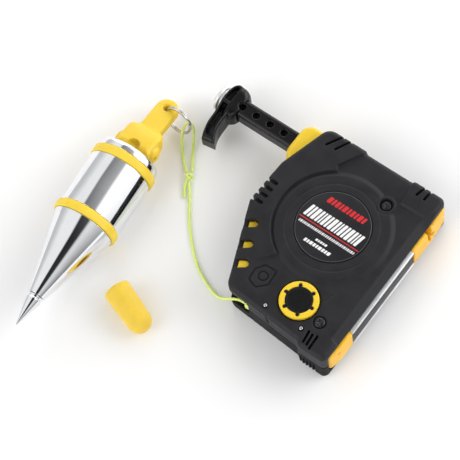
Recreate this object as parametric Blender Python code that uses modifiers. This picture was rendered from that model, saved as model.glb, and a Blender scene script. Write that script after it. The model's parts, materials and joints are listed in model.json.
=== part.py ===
"""Plumb bob with its cord and its spring-reel case, built as separate named pieces.

All sizes below are in millimetres and every helper converts them to metres.
Frame: the origin is on the case's back face, under the reel's axle. +Z points out of the
label face, +X out of the magnet face and +Y towards the side where the arm slides.
The plumb bob lies beside the case on its two bands.
"""

import math

import bmesh
import bpy
from mathutils import Matrix, Vector

MM = 0.001
GAP = 0.3                     # clearance kept between touching pieces
CUT = 1.0                     # how far a cutter runs past the face that it opens

# ---- case: jackets, housings and base --------------------------------------------------
CASE_HEIGHT = 24.0            # back face to front face, without the plateau
MID_PLANE = 12.0              # where the two halves meet
JACKET_WALL = 2.0
HOUSING_WALL = 1.6
EDGE_ROUND = 2.4
CASE_CORNERS = [              # x, y, corner radius, anticlockwise from the cord's corner
    (-24.0, -52.3, 6.0), (18.5, -55.2, 1.5), (21.0, -57.2, 1.5), (35.8, -57.2, 3.0),
    (35.8, 42.0, 5.0), (-32.5, 42.0, 6.0), (-40.6, 14.0, 6.0), (-41.6, -10.0, 5.0)]
CORE_CORNERS = [              # the housings' outer outline, which stops at the base block
    (-21.8, -49.8, 4.0), (30.7, -53.2, 2.0), (30.7, 39.7, 2.0), (-30.8, 39.7, 4.0),
    (-38.3, 13.6, 4.0), (-39.3, -9.7, 4.0)]
PLATEAU_RADIUS = 29.0
PLATEAU_HEIGHT = 1.0
PLATEAU_SLOPE = 1.2
LABEL_RADIUS = 18.3
LABEL_RECESS = 1.2
LABEL_DROP = 0.2              # the label's top lies this far below the plateau
BASE_FACE_X = 37.4            # plane that the magnet and both yellow feet touch
BASE_INNER_X = 31.0
BASE_FLANGE_X = 33.5
BASE_LOW_Z, BASE_HIGH_Z = 5.0, 19.0
BASE_Y = (-53.6, 40.4)
BASE_ROUND = 1.4
BASE_SLOT_Y = (25.6, 30.0)
BASE_SLOT_FLOOR = 8.0
MAGNET_Y = (-36.7, 12.7)
POLE_THICK = 1.8
MAGNET_SETBACK = 0.4
WINDOW_TIPS = [(-30.2, -18.3), (-26.0, -28.0), (-21.9, -37.0)]
WINDOW_ANGLE = math.radians(35)
WINDOW_WIDTH = 4.2
WINDOW_REACH = 12.0
WINDOW_FLOOR = 17.0
WINDOW_PAD = 5.2              # length of the yellow pad that fills each window
WINDOW_PAD_TOP = 22.8
SCREW_SPOTS = [(14.0, 23.6), (22.9, -42.4)]
SCREW_HEAD_RADIUS = 2.65
SCREW_SHANK_RADIUS = 1.3
SCREW_TIP_Z = 4.8
BOSS_RADIUS = 2.9
WELL_FLOOR = 20.0             # the dial's and the screws' wells open below this height
WELL_TOP = 30.0
WELL_MARGIN = 0.55
DOWEL_SPOTS = [(-2.7, -50.1), (17.7, -49.9)]
DOWEL_RADIUS = 0.85
DOWEL_DEPTH = 4.6
DOWEL_BOSS_RADIUS, DOWEL_BOSS_SHIFT = 2.2, 1.6
MOUTH_X = (-32.0, -11.4)      # pocket in the lower corner that the cord comes out of
MOUTH_Y = -48.0
MOUTH_Z = (3.0, 12.5)
GUIDE_LOW, GUIDE_HIGH = (-15.3, -52.0, 5.0), (-12.2, -48.6, 11.5)
GUIDE_ROUND = 1.0

# ---- sliding arm -----------------------------------------------------------------------
ARM_Y = 30.0
ARM_WIDTH = 9.6
ARM_Z = (7.4, 16.6)
ARM_X = (-84.0, -18.0)
ARM_HOLE_PITCH = 8.4
ARM_HOLE_FIRST = -76.6
ARM_HOLES = 5
ARM_HOLE_RADIUS = 1.75
ARM_ROUND = 1.2
COLLAR_CENTRE = (-33.6, 29.0)
COLLAR_RADIUS = 10.8
COLLAR_INNER_X = -29.6
COLLAR_Z = (4.6, 19.4)
COLLAR_ROUND = 1.6
HANDLE_Z = (5.4, 18.6)
HANDLE_ROUND = 1.8
HANDLE_CORNERS = [            # plan of the T-handle, anticlockwise from its long foot
    (-84.8, 5.3, 1.5), (-75.4, 5.3, 1.2), (-77.4, 13.0, 4.0), (-75.6, 24.9, 3.0),
    (-81.0, 35.1, 2.0), (-82.6, 40.2, 1.5), (-87.2, 40.2, 2.2), (-88.4, 26.0, 9.0),
    (-87.6, 11.0, 3.0)]
STRIKE_RADIUS = 6.6
STRIKE_X = (-91.0, -88.8)
STRIKE_BEVEL = 1.2
LEAF_X = (-28.0, -14.0)       # bowed spring under the arm that holds it at each hole
LEAF_THICK, LEAF_WIDTH = 0.5, 5.0
PIN_Y = 28.0
PIN_Z = 12.0
PIN_RADIUS = 1.1
PIN_START_X, PIN_TIP_X = -28.0, 35.6
PIN_POINT = 3.0

# ---- reel and brake --------------------------------------------------------------------
SPOOL_RADIUS = 23.5
SPOOL_Z = (4.5, 15.5)
SPOOL_FLANGE = 1.2
SPOOL_HUB = 8.0
DRUM_RADIUS = 18.3
DRUM_TOP = 19.6
CORD_PACK_RADIUS = 21.0
AXLE_RADIUS = 3.0
AXLE_Z = (4.2, 19.8)          # the axle, the roller's pin and the dial's shaft all span this
SPRING_TURNS = 5
SPRING_THICK = 0.35
DIAL_SPOT = (8.7, -39.1)
DIAL_RADIUS = 9.7
DIAL_HUB_RADIUS = 6.85
DIAL_NUB_REACH = 8.3
DIAL_NUBS = 6
DIAL_NUB_HALF = 0.85
DIAL_NUB_ANGLE = 28           # degrees, of the first nub
DIAL_SEAT_DEPTH = 1.6
DIAL_SHAFT_RADIUS = 2.5
DIAL_Z = (22.1, 24.6)
CAM_RADIUS = 4.0
CAM_THROW = 0.8
CAM_Z = (9.0, 15.4)
SHOE_NEAR, SHOE_FAR = 24.7, 35.7   # distances from the reel's axle along the line to the dial
SHOE_HALF = 4.0
ROLLER_SPOT = (-10.2, -43.6)
ROLLER_RADIUS = 3.3
ROLLER_GROOVE = 1.2
ROLLER_Z = (6.5, 12.0)
ROLLER_PIN_RADIUS = 1.0

# ---- bob -------------------------------------------------------------------------------
BOB_TIP = (-95.5, -123.8)
BOB_YAW = math.radians(5.58)  # the bob's axis leans this far from +Y towards -X
BAND_RADIUS = 17.1
BODY_RADIUS = 16.4
TIP_CONE_LENGTH = 15.1
TIP_CONE_RADIUS = 4.15
CONE_START, CONE_END = 17.4, 60.0
CONE_RADII = (4.4, 15.9)
LOWER_BAND = (60.3, 65.3)
UPPER_BAND = (93.5, 98.7)
BAND_SEAT = 1.0               # depth of the groove that holds each band
TURNED_SIDES = 40
BODY_TOP = 103.4
SHOULDER_ROUND = 3.0
DISH_DEPTH = 3.4
DISH_RADII = (10.8, 12.6)     # floor and rim of the dish that the head nests in
BORE_RADIUS, BORE_FLOOR = 4.3, 84.0   # hollow under the dish for the swivel
TIP_BORE_RADIUS, TIP_BORE_END = 2.2, 26.0
NUT_RADII, NUT_HEIGHT = (2.7, 4.0), 4.0
STUD_RADIUS, STUD_FOOT_RADIUS = 2.2, 3.9
STUD_FOOT = 2.0
CROSS_PIN_RADIUS, CROSS_PIN_HALF = 1.0, 9.0
PIVOT_UP = 106.0              # distance of the head's pivot from the bob's tip
HEAD_DROOP = math.radians(13)  # the loose head hangs this far below the bob's axis
EYE_UP = 28.4                 # pivot to eye along the head
TAB_WIDTH, TAB_THICK = 10.7, 5.5
TAB_ROOT = 10.0
HEAD_THICK = 15.0
HEAD_ROUND, TAB_ROUND = 0.8, 1.0
HEAD_CORNERS = [              # half outline of the head's body: sideways, along, radius
    (9.6, -3.2, 1.2), (11.0, 0.6, 2.0), (10.9, 6.8, 1.8), (9.0, 7.6, 0.4),
    (9.7, 12.8, 2.6), (5.5, 14.6, 1.0)]
STUD_SLOT_RADIUS = 2.8
STUD_SLOT_TOP = 0.8           # where the slot's round end starts, up from the pivot
EYE_RADIUS = 1.55
EYE_FLARE = 2.7
STAND_UP = Matrix(((0, 0, 1, 0), (1, 0, 0, 0), (0, 1, 0, 0), (0, 0, 0, 1)))

# ---- ring and cord ---------------------------------------------------------------------
RING_RADIUS = 7.5
RING_WIRE = 0.85
RING_OUT = Vector((0.981, -0.059, -0.183))    # from the eye towards the ring's far side
RING_RISE = Vector((0.192, 0.230, 0.954))     # along the wire where it passes the eye
CORD_RADIUS = 0.7
KNOT_CENTRE = (-80.6, -10.6, 2.4)
KNOT_RADIUS = 2.3
CORD_RUN = [                  # from the cord guide down to the ground and on to the knot
    (-15.6, -50.3, 9.2), (-18.6, -50.5, 8.9), (-21.8, -51.3, 7.6), (-25.0, -52.4, 5.4),
    (-28.2, -53.0, 3.0), (-31.6, -52.9, 1.3), (-35.4, -52.0, 0.8), (-40.0, -50.3, 0.8),
    (-45.6, -47.6, 0.8), (-51.0, -44.0, 0.8), (-56.2, -39.6, 0.8), (-61.0, -35.0, 0.8),
    (-65.4, -30.2, 0.8), (-69.4, -25.2, 0.8), (-73.2, -20.0, 0.9), (-76.6, -15.6, 1.3),
    (-78.9, -12.7, 1.9)]
CORD_LOOP = [                 # out of the knot, over the ring's far side and back
    (-81.2, -7.4, 1.9), (-83.2, -4.6, 1.2), (-86.2, -0.6, 0.8), (-88.6, 3.2, 1.4),
    (-90.6, 6.6, 3.4), (-92.1, 9.2, 5.7), (-94.2, 10.9, 7.6), (-96.4, 10.6, 8.7),
    (-97.0, 8.6, 8.6), (-96.7, 6.2, 7.3), (-95.6, 3.6, 4.8), (-93.7, 0.9, 2.2),
    (-91.0, -2.2, 0.9), (-87.4, -5.6, 0.8), (-83.4, -9.2, 1.7)]
ROUTE_STEP = 3.2

# ---- tip cap ---------------------------------------------------------------------------
CAP_OPEN_END = (-71.4, -79.3)
CAP_YAW = math.radians(-19)
CAP_RADII = (6.6, 6.2)        # at the open end, and where the round end starts
CAP_LENGTH = 26.0
CAP_BORE = 4.7
CAP_DEPTH = 17.0
CAP_LIP = 0.8

# ---- materials: colour, roughness, metallic --------------------------------------------
FINISHES = {
    "black_rubber": ((0.035, 0.035, 0.038), 0.55, 0.0),
    "black_plastic": ((0.025, 0.025, 0.028), 0.38, 0.0),
    "yellow_plastic": ((0.92, 0.66, 0.03), 0.35, 0.0),
    "yellow_rubber": ((0.90, 0.68, 0.05), 0.50, 0.0),
    "plated_steel": ((0.80, 0.81, 0.83), 0.10, 1.0),
    "bright_steel": ((0.62, 0.62, 0.64), 0.25, 1.0),
    "ferrite": ((0.10, 0.10, 0.11), 0.60, 0.0),
    "cord_fibre": ((0.66, 0.85, 0.15), 0.60, 0.0),
    "label_plastic": ((0.03, 0.03, 0.033), 0.40, 0.0),
}


def start_scene():
    for old in list(bpy.data.objects):
        bpy.data.objects.remove(old, do_unlink=True)
    collections = []
    for name in ("plumb_bob", "cutters"):
        collection = bpy.data.collections.new(name)
        bpy.context.scene.collection.children.link(collection)
        collections.append(collection)
    return collections


PARTS, CUTTERS = start_scene()


def finish(name):
    """The material called name, made on its first use."""
    material = bpy.data.materials.get(name)
    if material is None:
        colour, roughness, metallic = FINISHES[name]
        material = bpy.data.materials.new(name)
        material.use_nodes = True
        shader = material.node_tree.nodes["Principled BSDF"]
        shader.inputs["Base Color"].default_value = (*colour, 1.0)
        shader.inputs["Roughness"].default_value = roughness
        shader.inputs["Metallic"].default_value = metallic
    return material


# ---- making pieces ---------------------------------------------------------------------
def place(piece, name, slot, frame=None):
    """File a new object as a piece with a material, or as a hidden cutter if slot is None."""
    piece.name = name
    for collection in list(piece.users_collection):
        collection.objects.unlink(piece)
    if slot is None:
        CUTTERS.objects.link(piece)
        piece.hide_render = True
        piece.display_type = 'WIRE'
    else:
        PARTS.objects.link(piece)
        piece.data.materials.clear()
        piece.data.materials.append(finish(slot))
    if frame is not None:
        piece.parent = frame
    return piece


def soften(piece, width):
    """Round every edge of a box."""
    rounding = piece.modifiers.new("round", 'BEVEL')
    rounding.width = width * MM
    rounding.segments = 2


def shade(piece, angle=35):
    piece.data.shade_smooth()
    piece.data.set_sharp_from_angle(angle=math.radians(angle))


def baked(piece):
    """The same shape as a plain welded mesh, with its modifiers applied."""
    bpy.context.view_layer.update()
    graph = bpy.context.evaluated_depsgraph_get()
    mesh = bpy.data.meshes.new_from_object(piece.evaluated_get(graph))
    solid = bmesh.new()
    solid.from_mesh(mesh)
    bmesh.ops.remove_doubles(solid, verts=solid.verts, dist=0.00001)
    bmesh.ops.recalc_face_normals(solid, faces=solid.faces)
    solid.to_mesh(mesh)
    solid.free()
    result = bpy.data.objects.new(piece.name, mesh)
    result.matrix_world = piece.matrix_world
    bpy.data.objects.remove(piece)
    PARTS.objects.link(result)
    return result


def box(name, slot, low, high, frame=None):
    size = [(b - a) * MM for a, b in zip(low, high)]
    centre = [(a + b) / 2 * MM for a, b in zip(low, high)]
    bpy.ops.mesh.primitive_cube_add(size=1)
    piece = bpy.context.object
    piece.data.transform(Matrix.Diagonal((*size, 1.0)))
    piece.location = centre
    return place(piece, name, slot, frame)


def rod(name, slot, radius, start, end, sides=24, end_radius=None, frame=None):
    """A cylinder, or a cone if end_radius is given, between two points."""
    start, end = Vector(start) * MM, Vector(end) * MM
    run = end - start
    top = radius if end_radius is None else end_radius
    bpy.ops.mesh.primitive_cone_add(vertices=sides, radius1=radius * MM, radius2=top * MM,
                                    depth=run.length)
    piece = bpy.context.object
    piece.rotation_mode = 'QUATERNION'
    piece.rotation_quaternion = run.to_track_quat('Z', 'Y')
    piece.location = (start + end) / 2
    shade(piece)
    return place(piece, name, slot, frame)


def arc(centre, radius, first, last, steps):
    """Points on a circle's arc, between two angles in radians."""
    angles = [first + (last - first) * i / steps for i in range(steps + 1)]
    return [(centre[0] + radius * math.cos(a), centre[1] + radius * math.sin(a)) for a in angles]


def rounded(corners, steps=3):
    """A closed outline whose corners (x, y, radius) are replaced by arcs."""
    outline = []
    count = len(corners)
    for i, (x, y, radius) in enumerate(corners):
        here = Vector((x, y))
        back = (Vector(corners[i - 1][:2]) - here).normalized()
        ahead = (Vector(corners[(i + 1) % count][:2]) - here).normalized()
        half = back.angle(ahead) / 2
        centre = here + (back + ahead).normalized() * (radius / math.sin(half))
        start = here + back * (radius / math.tan(half)) - centre
        end = here + ahead * (radius / math.tan(half)) - centre
        turn = start.angle_signed(end)
        for k in range(steps + 1):
            point = centre + Matrix.Rotation(-turn * k / steps, 2) @ start
            outline.append((point.x, point.y))
    return outline


def inset(corners, distance):
    """The same corners moved inwards by a distance from every side."""
    moved = []
    count = len(corners)
    for i, (x, y, radius) in enumerate(corners):
        here = Vector((x, y))
        back = (here - Vector(corners[i - 1][:2])).normalized()
        ahead = (Vector(corners[(i + 1) % count][:2]) - here).normalized()
        inward_back, inward_ahead = Vector((-back.y, back.x)), Vector((-ahead.y, ahead.x))
        bisector = (inward_back + inward_ahead).normalized()
        point = here + bisector * (distance / bisector.dot(inward_ahead))
        moved.append((point.x, point.y, max(radius - distance, 0.5)))
    return moved


def plate(name, slot, outline, low, high, frame=None):
    """A flat outline with a thickness, from z = low to z = high."""
    curve = bpy.data.curves.new(name, 'CURVE')
    curve.dimensions = '2D'
    curve.fill_mode = 'BOTH'
    curve.extrude = (high - low) / 2 * MM
    spline = curve.splines.new('POLY')
    spline.points.add(len(outline) - 1)
    for point, (x, y) in zip(spline.points, outline):
        point.co = (x * MM, y * MM, 0.0, 1.0)
    spline.use_cyclic_u = True
    piece = bpy.data.objects.new(name, curve)
    piece.location.z = (low + high) / 2 * MM
    PARTS.objects.link(piece)
    piece = baked(piece)
    piece.data.transform(Matrix.Translation((0, 0, piece.location.z)))
    piece.location.z = 0.0
    return place(piece, name, slot, frame)


def round_rim(piece, height, width, segments=2):
    """Round the sharp edges that lie at one height of an upright plate."""
    solid = bmesh.new()
    solid.from_mesh(piece.data)
    bmesh.ops.dissolve_limit(solid, angle_limit=math.radians(1), verts=solid.verts, edges=solid.edges)
    rim = [e for e in solid.edges if all(abs(v.co.z - height * MM) < 1e-6 for v in e.verts)]
    bmesh.ops.bevel(solid, geom=rim, offset=width * MM, segments=segments, affect='EDGES', profile=0.5)
    solid.to_mesh(piece.data)
    solid.free()


def turned(name, slot, profile, steps=40, frame=None):
    """A profile (radius, height), listed from its top to its bottom, turned about Z."""
    mesh = bpy.data.meshes.new(name)
    verts = [(r * MM, 0.0, z * MM) for r, z in profile]
    edges = [(i, i + 1) for i in range(len(verts) - 1)]
    if profile[0][0] > 0:
        edges.append((len(verts) - 1, 0))
    mesh.from_pydata(verts, edges, [])
    piece = bpy.data.objects.new(name, mesh)
    screw = piece.modifiers.new("turn", 'SCREW')
    screw.steps = screw.render_steps = steps
    screw.use_merge_vertices = True
    screw.merge_threshold = 0.00001
    PARTS.objects.link(piece)
    piece = baked(piece)
    shade(piece)
    return place(piece, name, slot, frame)


def tube(name, slot, points, radius, resolution=2, cyclic=False):
    """A round wire along points in millimetres."""
    curve = bpy.data.curves.new(name, 'CURVE')
    curve.dimensions = '3D'
    curve.bevel_depth = radius * MM
    curve.bevel_resolution = resolution
    curve.use_fill_caps = not cyclic
    spline = curve.splines.new('POLY')
    spline.points.add(len(points) - 1)
    for point, co in zip(spline.points, points):
        point.co = (*(c * MM for c in co), 1.0)
    spline.use_cyclic_u = cyclic
    piece = bpy.data.objects.new(name, curve)
    PARTS.objects.link(piece)
    return place(piece, name, slot)


def combine(piece, other, operation):
    if other.name not in CUTTERS.objects:
        place(other, other.name, None)
    modifier = piece.modifiers.new(other.name, 'BOOLEAN')
    modifier.operation = operation
    modifier.object = other
    modifier.solver = 'EXACT'


def cut(piece, *others):
    for other in others:
        combine(piece, other, 'DIFFERENCE')


def join(piece, *others):
    for other in others:
        combine(piece, other, 'UNION')


def smooth_route(points, step):
    """Points every step along a smooth curve through the given points."""
    knots = [Vector(p) for p in points]
    ends = [2 * knots[0] - knots[1]] + knots + [2 * knots[-1] - knots[-2]]
    fine = []
    for a, b, c, d in zip(ends, ends[1:], ends[2:], ends[3:]):
        for i in range(12):
            t = i / 12
            fine.append(0.5 * ((2 * b) + (c - a) * t + (2 * a - 5 * b + 4 * c - d) * t * t
                               + (3 * b - a - 3 * c + d) * t ** 3))
    fine.append(knots[-1])
    length = sum((q - p).length for p, q in zip(fine, fine[1:]))
    count = max(2, round(length / step))
    route, walked, target = [fine[0]], 0.0, length / count
    for p, q in zip(fine, fine[1:]):
        reach = (q - p).length
        while walked + reach >= target and len(route) < count:
            route.append(p.lerp(q, (target - walked) / reach))
            target += length / count
        walked += reach
    route.append(fine[-1])
    return route


# ---- case ------------------------------------------------------------------------------
def window_cutter(name, tip, margin, low, high, reach):
    """A slot with a round inner end, running outwards through the slanted edge."""
    half = WINDOW_WIDTH / 2 + margin
    end = arc((-half, 0), half, math.pi / 2, -math.pi / 2, 8)
    outline = [(x + margin, y) for x, y in end] + [(-reach, -half), (-reach, half)]
    slot = plate(name, None, outline[::-1], low, high)
    slot.location.x, slot.location.y = tip[0] * MM, tip[1] * MM
    slot.rotation_euler.z = WINDOW_ANGLE
    return slot


def collar_outline(margin):
    radius = COLLAR_RADIUS + margin
    spread = math.acos((COLLAR_INNER_X + margin - COLLAR_CENTRE[0]) / radius)
    return arc(COLLAR_CENTRE, radius, spread, 2 * math.pi - spread, 24)


def base_cutter(name):
    """Room for the base block's outer strip in a jacket's wall."""
    return box(name, None, (BASE_INNER_X - GAP, BASE_Y[0] - GAP, BASE_LOW_Z - GAP),
               (BASE_FACE_X + CUT, BASE_Y[1] + GAP, BASE_HIGH_Z + GAP))


def collar_cutter(name):
    return plate(name, None, collar_outline(GAP), COLLAR_Z[0] - GAP, COLLAR_Z[1] + GAP)


def mouth_cutter(name):
    return box(name, None, (MOUTH_X[0], -60.0, MOUTH_Z[0]), (MOUTH_X[1], MOUTH_Y, MOUTH_Z[1]))


def dowel_cutter(name, spot, low, high):
    return rod(name, None, DOWEL_RADIUS + GAP, (*spot, low), (*spot, high), sides=12)


def well_cutter(name, spot, radius):
    """A round well in the front face, for a screw's head or the dial."""
    return rod(name, None, radius + WELL_MARGIN, (*spot, WELL_FLOOR), (*spot, WELL_TOP), sides=32)


def jacket_cutters(name, low, high):
    """The cavity between two heights, and the openings that both jackets have."""
    cavity = rounded(inset(CASE_CORNERS, JACKET_WALL))
    return (plate(f"{name}_cavity", None, cavity, low, high), base_cutter(f"{name}_base"),
            collar_cutter(f"{name}_collar"), mouth_cutter(f"{name}_mouth"))


def make_jackets():
    seam = GAP / 2
    outline = rounded(CASE_CORNERS)
    rear = plate("rear_jacket", "black_rubber", outline, 0.0, MID_PLANE - seam)
    round_rim(rear, 0.0, EDGE_ROUND)
    cut(rear, *jacket_cutters("rear_jacket", JACKET_WALL, MID_PLANE + CUT))

    front = plate("front_jacket", "black_rubber", outline, MID_PLANE + seam, CASE_HEIGHT)
    round_rim(front, CASE_HEIGHT, EDGE_ROUND)
    top = CASE_HEIGHT + PLATEAU_HEIGHT
    join(front, rod("front_jacket_plateau", None, PLATEAU_RADIUS, (0, 0, CASE_HEIGHT - CUT),
                    (0, 0, top), sides=48, end_radius=PLATEAU_RADIUS - PLATEAU_SLOPE))
    label_floor = top - LABEL_RECESS
    cut(front, *jacket_cutters("front_jacket", MID_PLANE - CUT, CASE_HEIGHT - JACKET_WALL),
        rod("front_jacket_label", None, LABEL_RADIUS + GAP, (0, 0, label_floor), (0, 0, top + CUT),
            sides=40),
        well_cutter("front_jacket_dial", DIAL_SPOT, DIAL_RADIUS))
    for i, spot in enumerate(SCREW_SPOTS):
        cut(front, well_cutter(f"front_jacket_screw_{i}", spot, SCREW_HEAD_RADIUS))
    for i, spot in enumerate(DOWEL_SPOTS):
        cut(front, dowel_cutter(f"front_jacket_dowel_{i}", spot, MID_PLANE - CUT, WELL_TOP))
    for i, tip in enumerate(WINDOW_TIPS):
        cut(front, window_cutter(f"window_{i}", tip, 0.0, WINDOW_FLOOR, CASE_HEIGHT + CUT, WINDOW_REACH))
    label_top = top - LABEL_DROP
    turned("label_disc", "label_plastic", [
        (0, label_top), (LABEL_RADIUS - GAP, label_top), (LABEL_RADIUS, label_top - GAP),
        (LABEL_RADIUS, label_floor + GAP), (0, label_floor + GAP)], steps=40)


def add_bosses(half, name, low, high):
    """The posts inside a housing half that take its screws and its dowel pins."""
    root = low + HOUSING_WALL / 4
    for i, spot in enumerate(SCREW_SPOTS):
        join(half, rod(f"{name}_boss_{i}", None, BOSS_RADIUS, (*spot, root), (*spot, high)))
    for i, (x, y) in enumerate(DOWEL_SPOTS):
        y += DOWEL_BOSS_SHIFT
        join(half, rod(f"{name}_dowel_boss_{i}", None, DOWEL_BOSS_RADIUS, (x, y, root), (x, y, high),
                       sides=16))


def drill(half, name, screw_floor, dowel_floor, high):
    """The screw and dowel holes, from a floor to past the half's top."""
    for i, spot in enumerate(SCREW_SPOTS):
        cut(half, rod(f"{name}_screw_{i}", None, SCREW_SHANK_RADIUS + GAP, (*spot, screw_floor),
                      (*spot, high + CUT), sides=16))
    for i, spot in enumerate(DOWEL_SPOTS):
        cut(half, dowel_cutter(f"{name}_dowel_{i}", spot, dowel_floor, high + CUT))
    cut(half, collar_cutter(f"{name}_collar"), mouth_cutter(f"{name}_mouth"),
        rod(f"{name}_pin_way", None, PIN_RADIUS + 2 * GAP, (BASE_INNER_X - 5, PIN_Y, PIN_Z),
            (BASE_INNER_X + CUT, PIN_Y, PIN_Z)))


def make_housings():
    seam = GAP / 2
    cavity = rounded(inset(CORE_CORNERS, HOUSING_WALL))
    outline = rounded(CORE_CORNERS)

    low, high = JACKET_WALL + GAP, MID_PLANE - seam
    rear = plate("rear_housing", "yellow_plastic", outline, low, high)
    cut(rear, plate("rear_housing_cavity", None, cavity, low + HOUSING_WALL, high + CUT))
    add_bosses(rear, "rear_housing", low, high)
    drill(rear, "rear_housing", low + HOUSING_WALL, MID_PLANE - DOWEL_DEPTH - GAP, high)

    low, high = MID_PLANE + seam, CASE_HEIGHT - JACKET_WALL - GAP
    roof = high - HOUSING_WALL
    front = plate("front_housing", "yellow_plastic", outline, low, high)
    cut(front, plate("front_housing_cavity", None, cavity, low - CUT, roof))
    add_bosses(front, "front_housing", low, high)
    for i, tip in enumerate(WINDOW_TIPS):
        join(front, window_cutter(f"window_pad_{i}", tip, -GAP, roof, WINDOW_PAD_TOP, WINDOW_PAD))
    cut(front, rod("front_housing_dial", None, DIAL_SHAFT_RADIUS + GAP, (*DIAL_SPOT, low),
                   (*DIAL_SPOT, WELL_TOP)))
    drill(front, "front_housing", low - CUT, low - CUT, high)


def make_base():
    low, high = JACKET_WALL + GAP, CASE_HEIGHT - JACKET_WALL - GAP
    beyond = BASE_FACE_X + CUT
    block = box("base_block", "yellow_plastic", (BASE_INNER_X, BASE_Y[0] + 4 * GAP, low),
                (BASE_FLANGE_X, BASE_Y[1] - 2 * HOUSING_WALL - GAP, high))
    strip = box("base_strip", None, (BASE_FLANGE_X - CUT, BASE_Y[0], BASE_LOW_Z),
                (BASE_FACE_X, BASE_Y[1], BASE_HIGH_Z))
    soften(strip, BASE_ROUND)
    join(block, strip)
    cut(block,
        box("base_channel", None, (BASE_FLANGE_X + GAP, MAGNET_Y[0] - GAP, 0.0),
            (beyond, MAGNET_Y[1] + GAP, CASE_HEIGHT)),
        box("base_slot", None, (BASE_FLANGE_X + GAP, BASE_SLOT_Y[0], BASE_SLOT_FLOOR),
            (beyond, BASE_SLOT_Y[1], CASE_HEIGHT)),
        rod("base_pin_way", None, PIN_RADIUS + GAP, (BASE_INNER_X - CUT, PIN_Y, PIN_Z),
            (beyond, PIN_Y, PIN_Z), sides=16))
    near, far = BASE_FLANGE_X + 2 * GAP, BASE_FACE_X
    layers = {
        "lower_pole_plate": ("bright_steel", BASE_LOW_Z, BASE_LOW_Z + POLE_THICK, far),
        "magnet": ("ferrite", BASE_LOW_Z + POLE_THICK + GAP, BASE_HIGH_Z - POLE_THICK - GAP,
                   far - MAGNET_SETBACK),
        "upper_pole_plate": ("bright_steel", BASE_HIGH_Z - POLE_THICK, BASE_HIGH_Z, far)}
    for name, (slot, low, high, face) in layers.items():
        box(name, slot, (near, MAGNET_Y[0], low), (face, MAGNET_Y[1], high))


def make_fasteners():
    seat = CASE_HEIGHT - JACKET_WALL
    for i, (x, y) in enumerate(SCREW_SPOTS, start=1):
        screw = turned(f"case_screw_{i}", "bright_steel", [
            (0, seat + 1.9), (1.6, seat + 1.8), (SCREW_HEAD_RADIUS, seat + 1.1),
            (SCREW_HEAD_RADIUS, seat), (SCREW_SHANK_RADIUS, seat),
            (SCREW_SHANK_RADIUS, SCREW_TIP_Z + 1.2), (0, SCREW_TIP_Z)], steps=16)
        screw.location = (x * MM, y * MM, 0)
        for k in range(2):
            blade = box(f"driver_{i}_{k}", None, (-1.5, -0.3, seat + 0.8), (1.5, 0.3, seat + 4))
            blade.rotation_euler.z = math.pi / 4 + k * math.pi / 2
            blade.location.x, blade.location.y = x * MM, y * MM
            cut(screw, blade)
    for i, spot in enumerate(DOWEL_SPOTS, start=1):
        rod(f"dowel_pin_{i}", "bright_steel", DOWEL_RADIUS, (*spot, MID_PLANE - DOWEL_DEPTH),
            (*spot, CASE_HEIGHT + 0.1), sides=16)


def make_cord_guide():
    guide = box("cord_guide", "cord_fibre", GUIDE_LOW, GUIDE_HIGH)
    soften(guide, GUIDE_ROUND)
    _, y, z = CORD_RUN[0]
    cut(guide, rod("cord_guide_hole", None, CORD_RADIUS + GAP, (GUIDE_LOW[0] - 5, y, z),
                   (GUIDE_HIGH[0] + 5, y, z), sides=12))
    x, y = ROLLER_SPOT
    rod("roller_pin", "bright_steel", ROLLER_PIN_RADIUS, (x, y, AXLE_Z[0]), (x, y, AXLE_Z[1]), sides=16)
    bore, rim, groove = ROLLER_PIN_RADIUS + GAP, ROLLER_RADIUS, ROLLER_RADIUS - ROLLER_GROOVE
    low, high = ROLLER_Z
    middle = (low + high) / 2
    roller = turned("guide_roller", "black_plastic", [
        (bore, high), (rim, high), (groove, middle + 0.8), (groove, middle - 0.8), (rim, low),
        (bore, low)], steps=24)
    roller.location = (x * MM, y * MM, 0)


# ---- sliding arm -----------------------------------------------------------------------
def make_arm_guide():
    half = ARM_WIDTH / 2
    collar = plate("arm_collar", "yellow_plastic", collar_outline(0.0), *COLLAR_Z)
    for height in COLLAR_Z:
        round_rim(collar, height, COLLAR_ROUND)
    beyond = COLLAR_CENTRE[0] - 2 * COLLAR_RADIUS
    cut(collar, box("arm_way", None, (beyond, ARM_Y - half - GAP, ARM_Z[0] - GAP),
                    (COLLAR_INNER_X + 2 * CUT, ARM_Y + half + GAP, ARM_Z[1] + GAP)))

    low = JACKET_WALL + HOUSING_WALL + 2 * GAP
    rise = ARM_Z[0] - GAP - low
    start, end = LEAF_X
    bow = [(start + (end - start) * i / 8, low + rise * math.sin(math.pi * i / 8)) for i in range(9)]
    leaf = plate("detent_spring", "bright_steel", [(x, z - LEAF_THICK) for x, z in bow] + bow[::-1],
                 -LEAF_WIDTH / 2, LEAF_WIDTH / 2)
    leaf.rotation_euler.x = math.pi / 2
    leaf.location = (0, ARM_Y * MM, LEAF_THICK * MM / 2)


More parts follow.
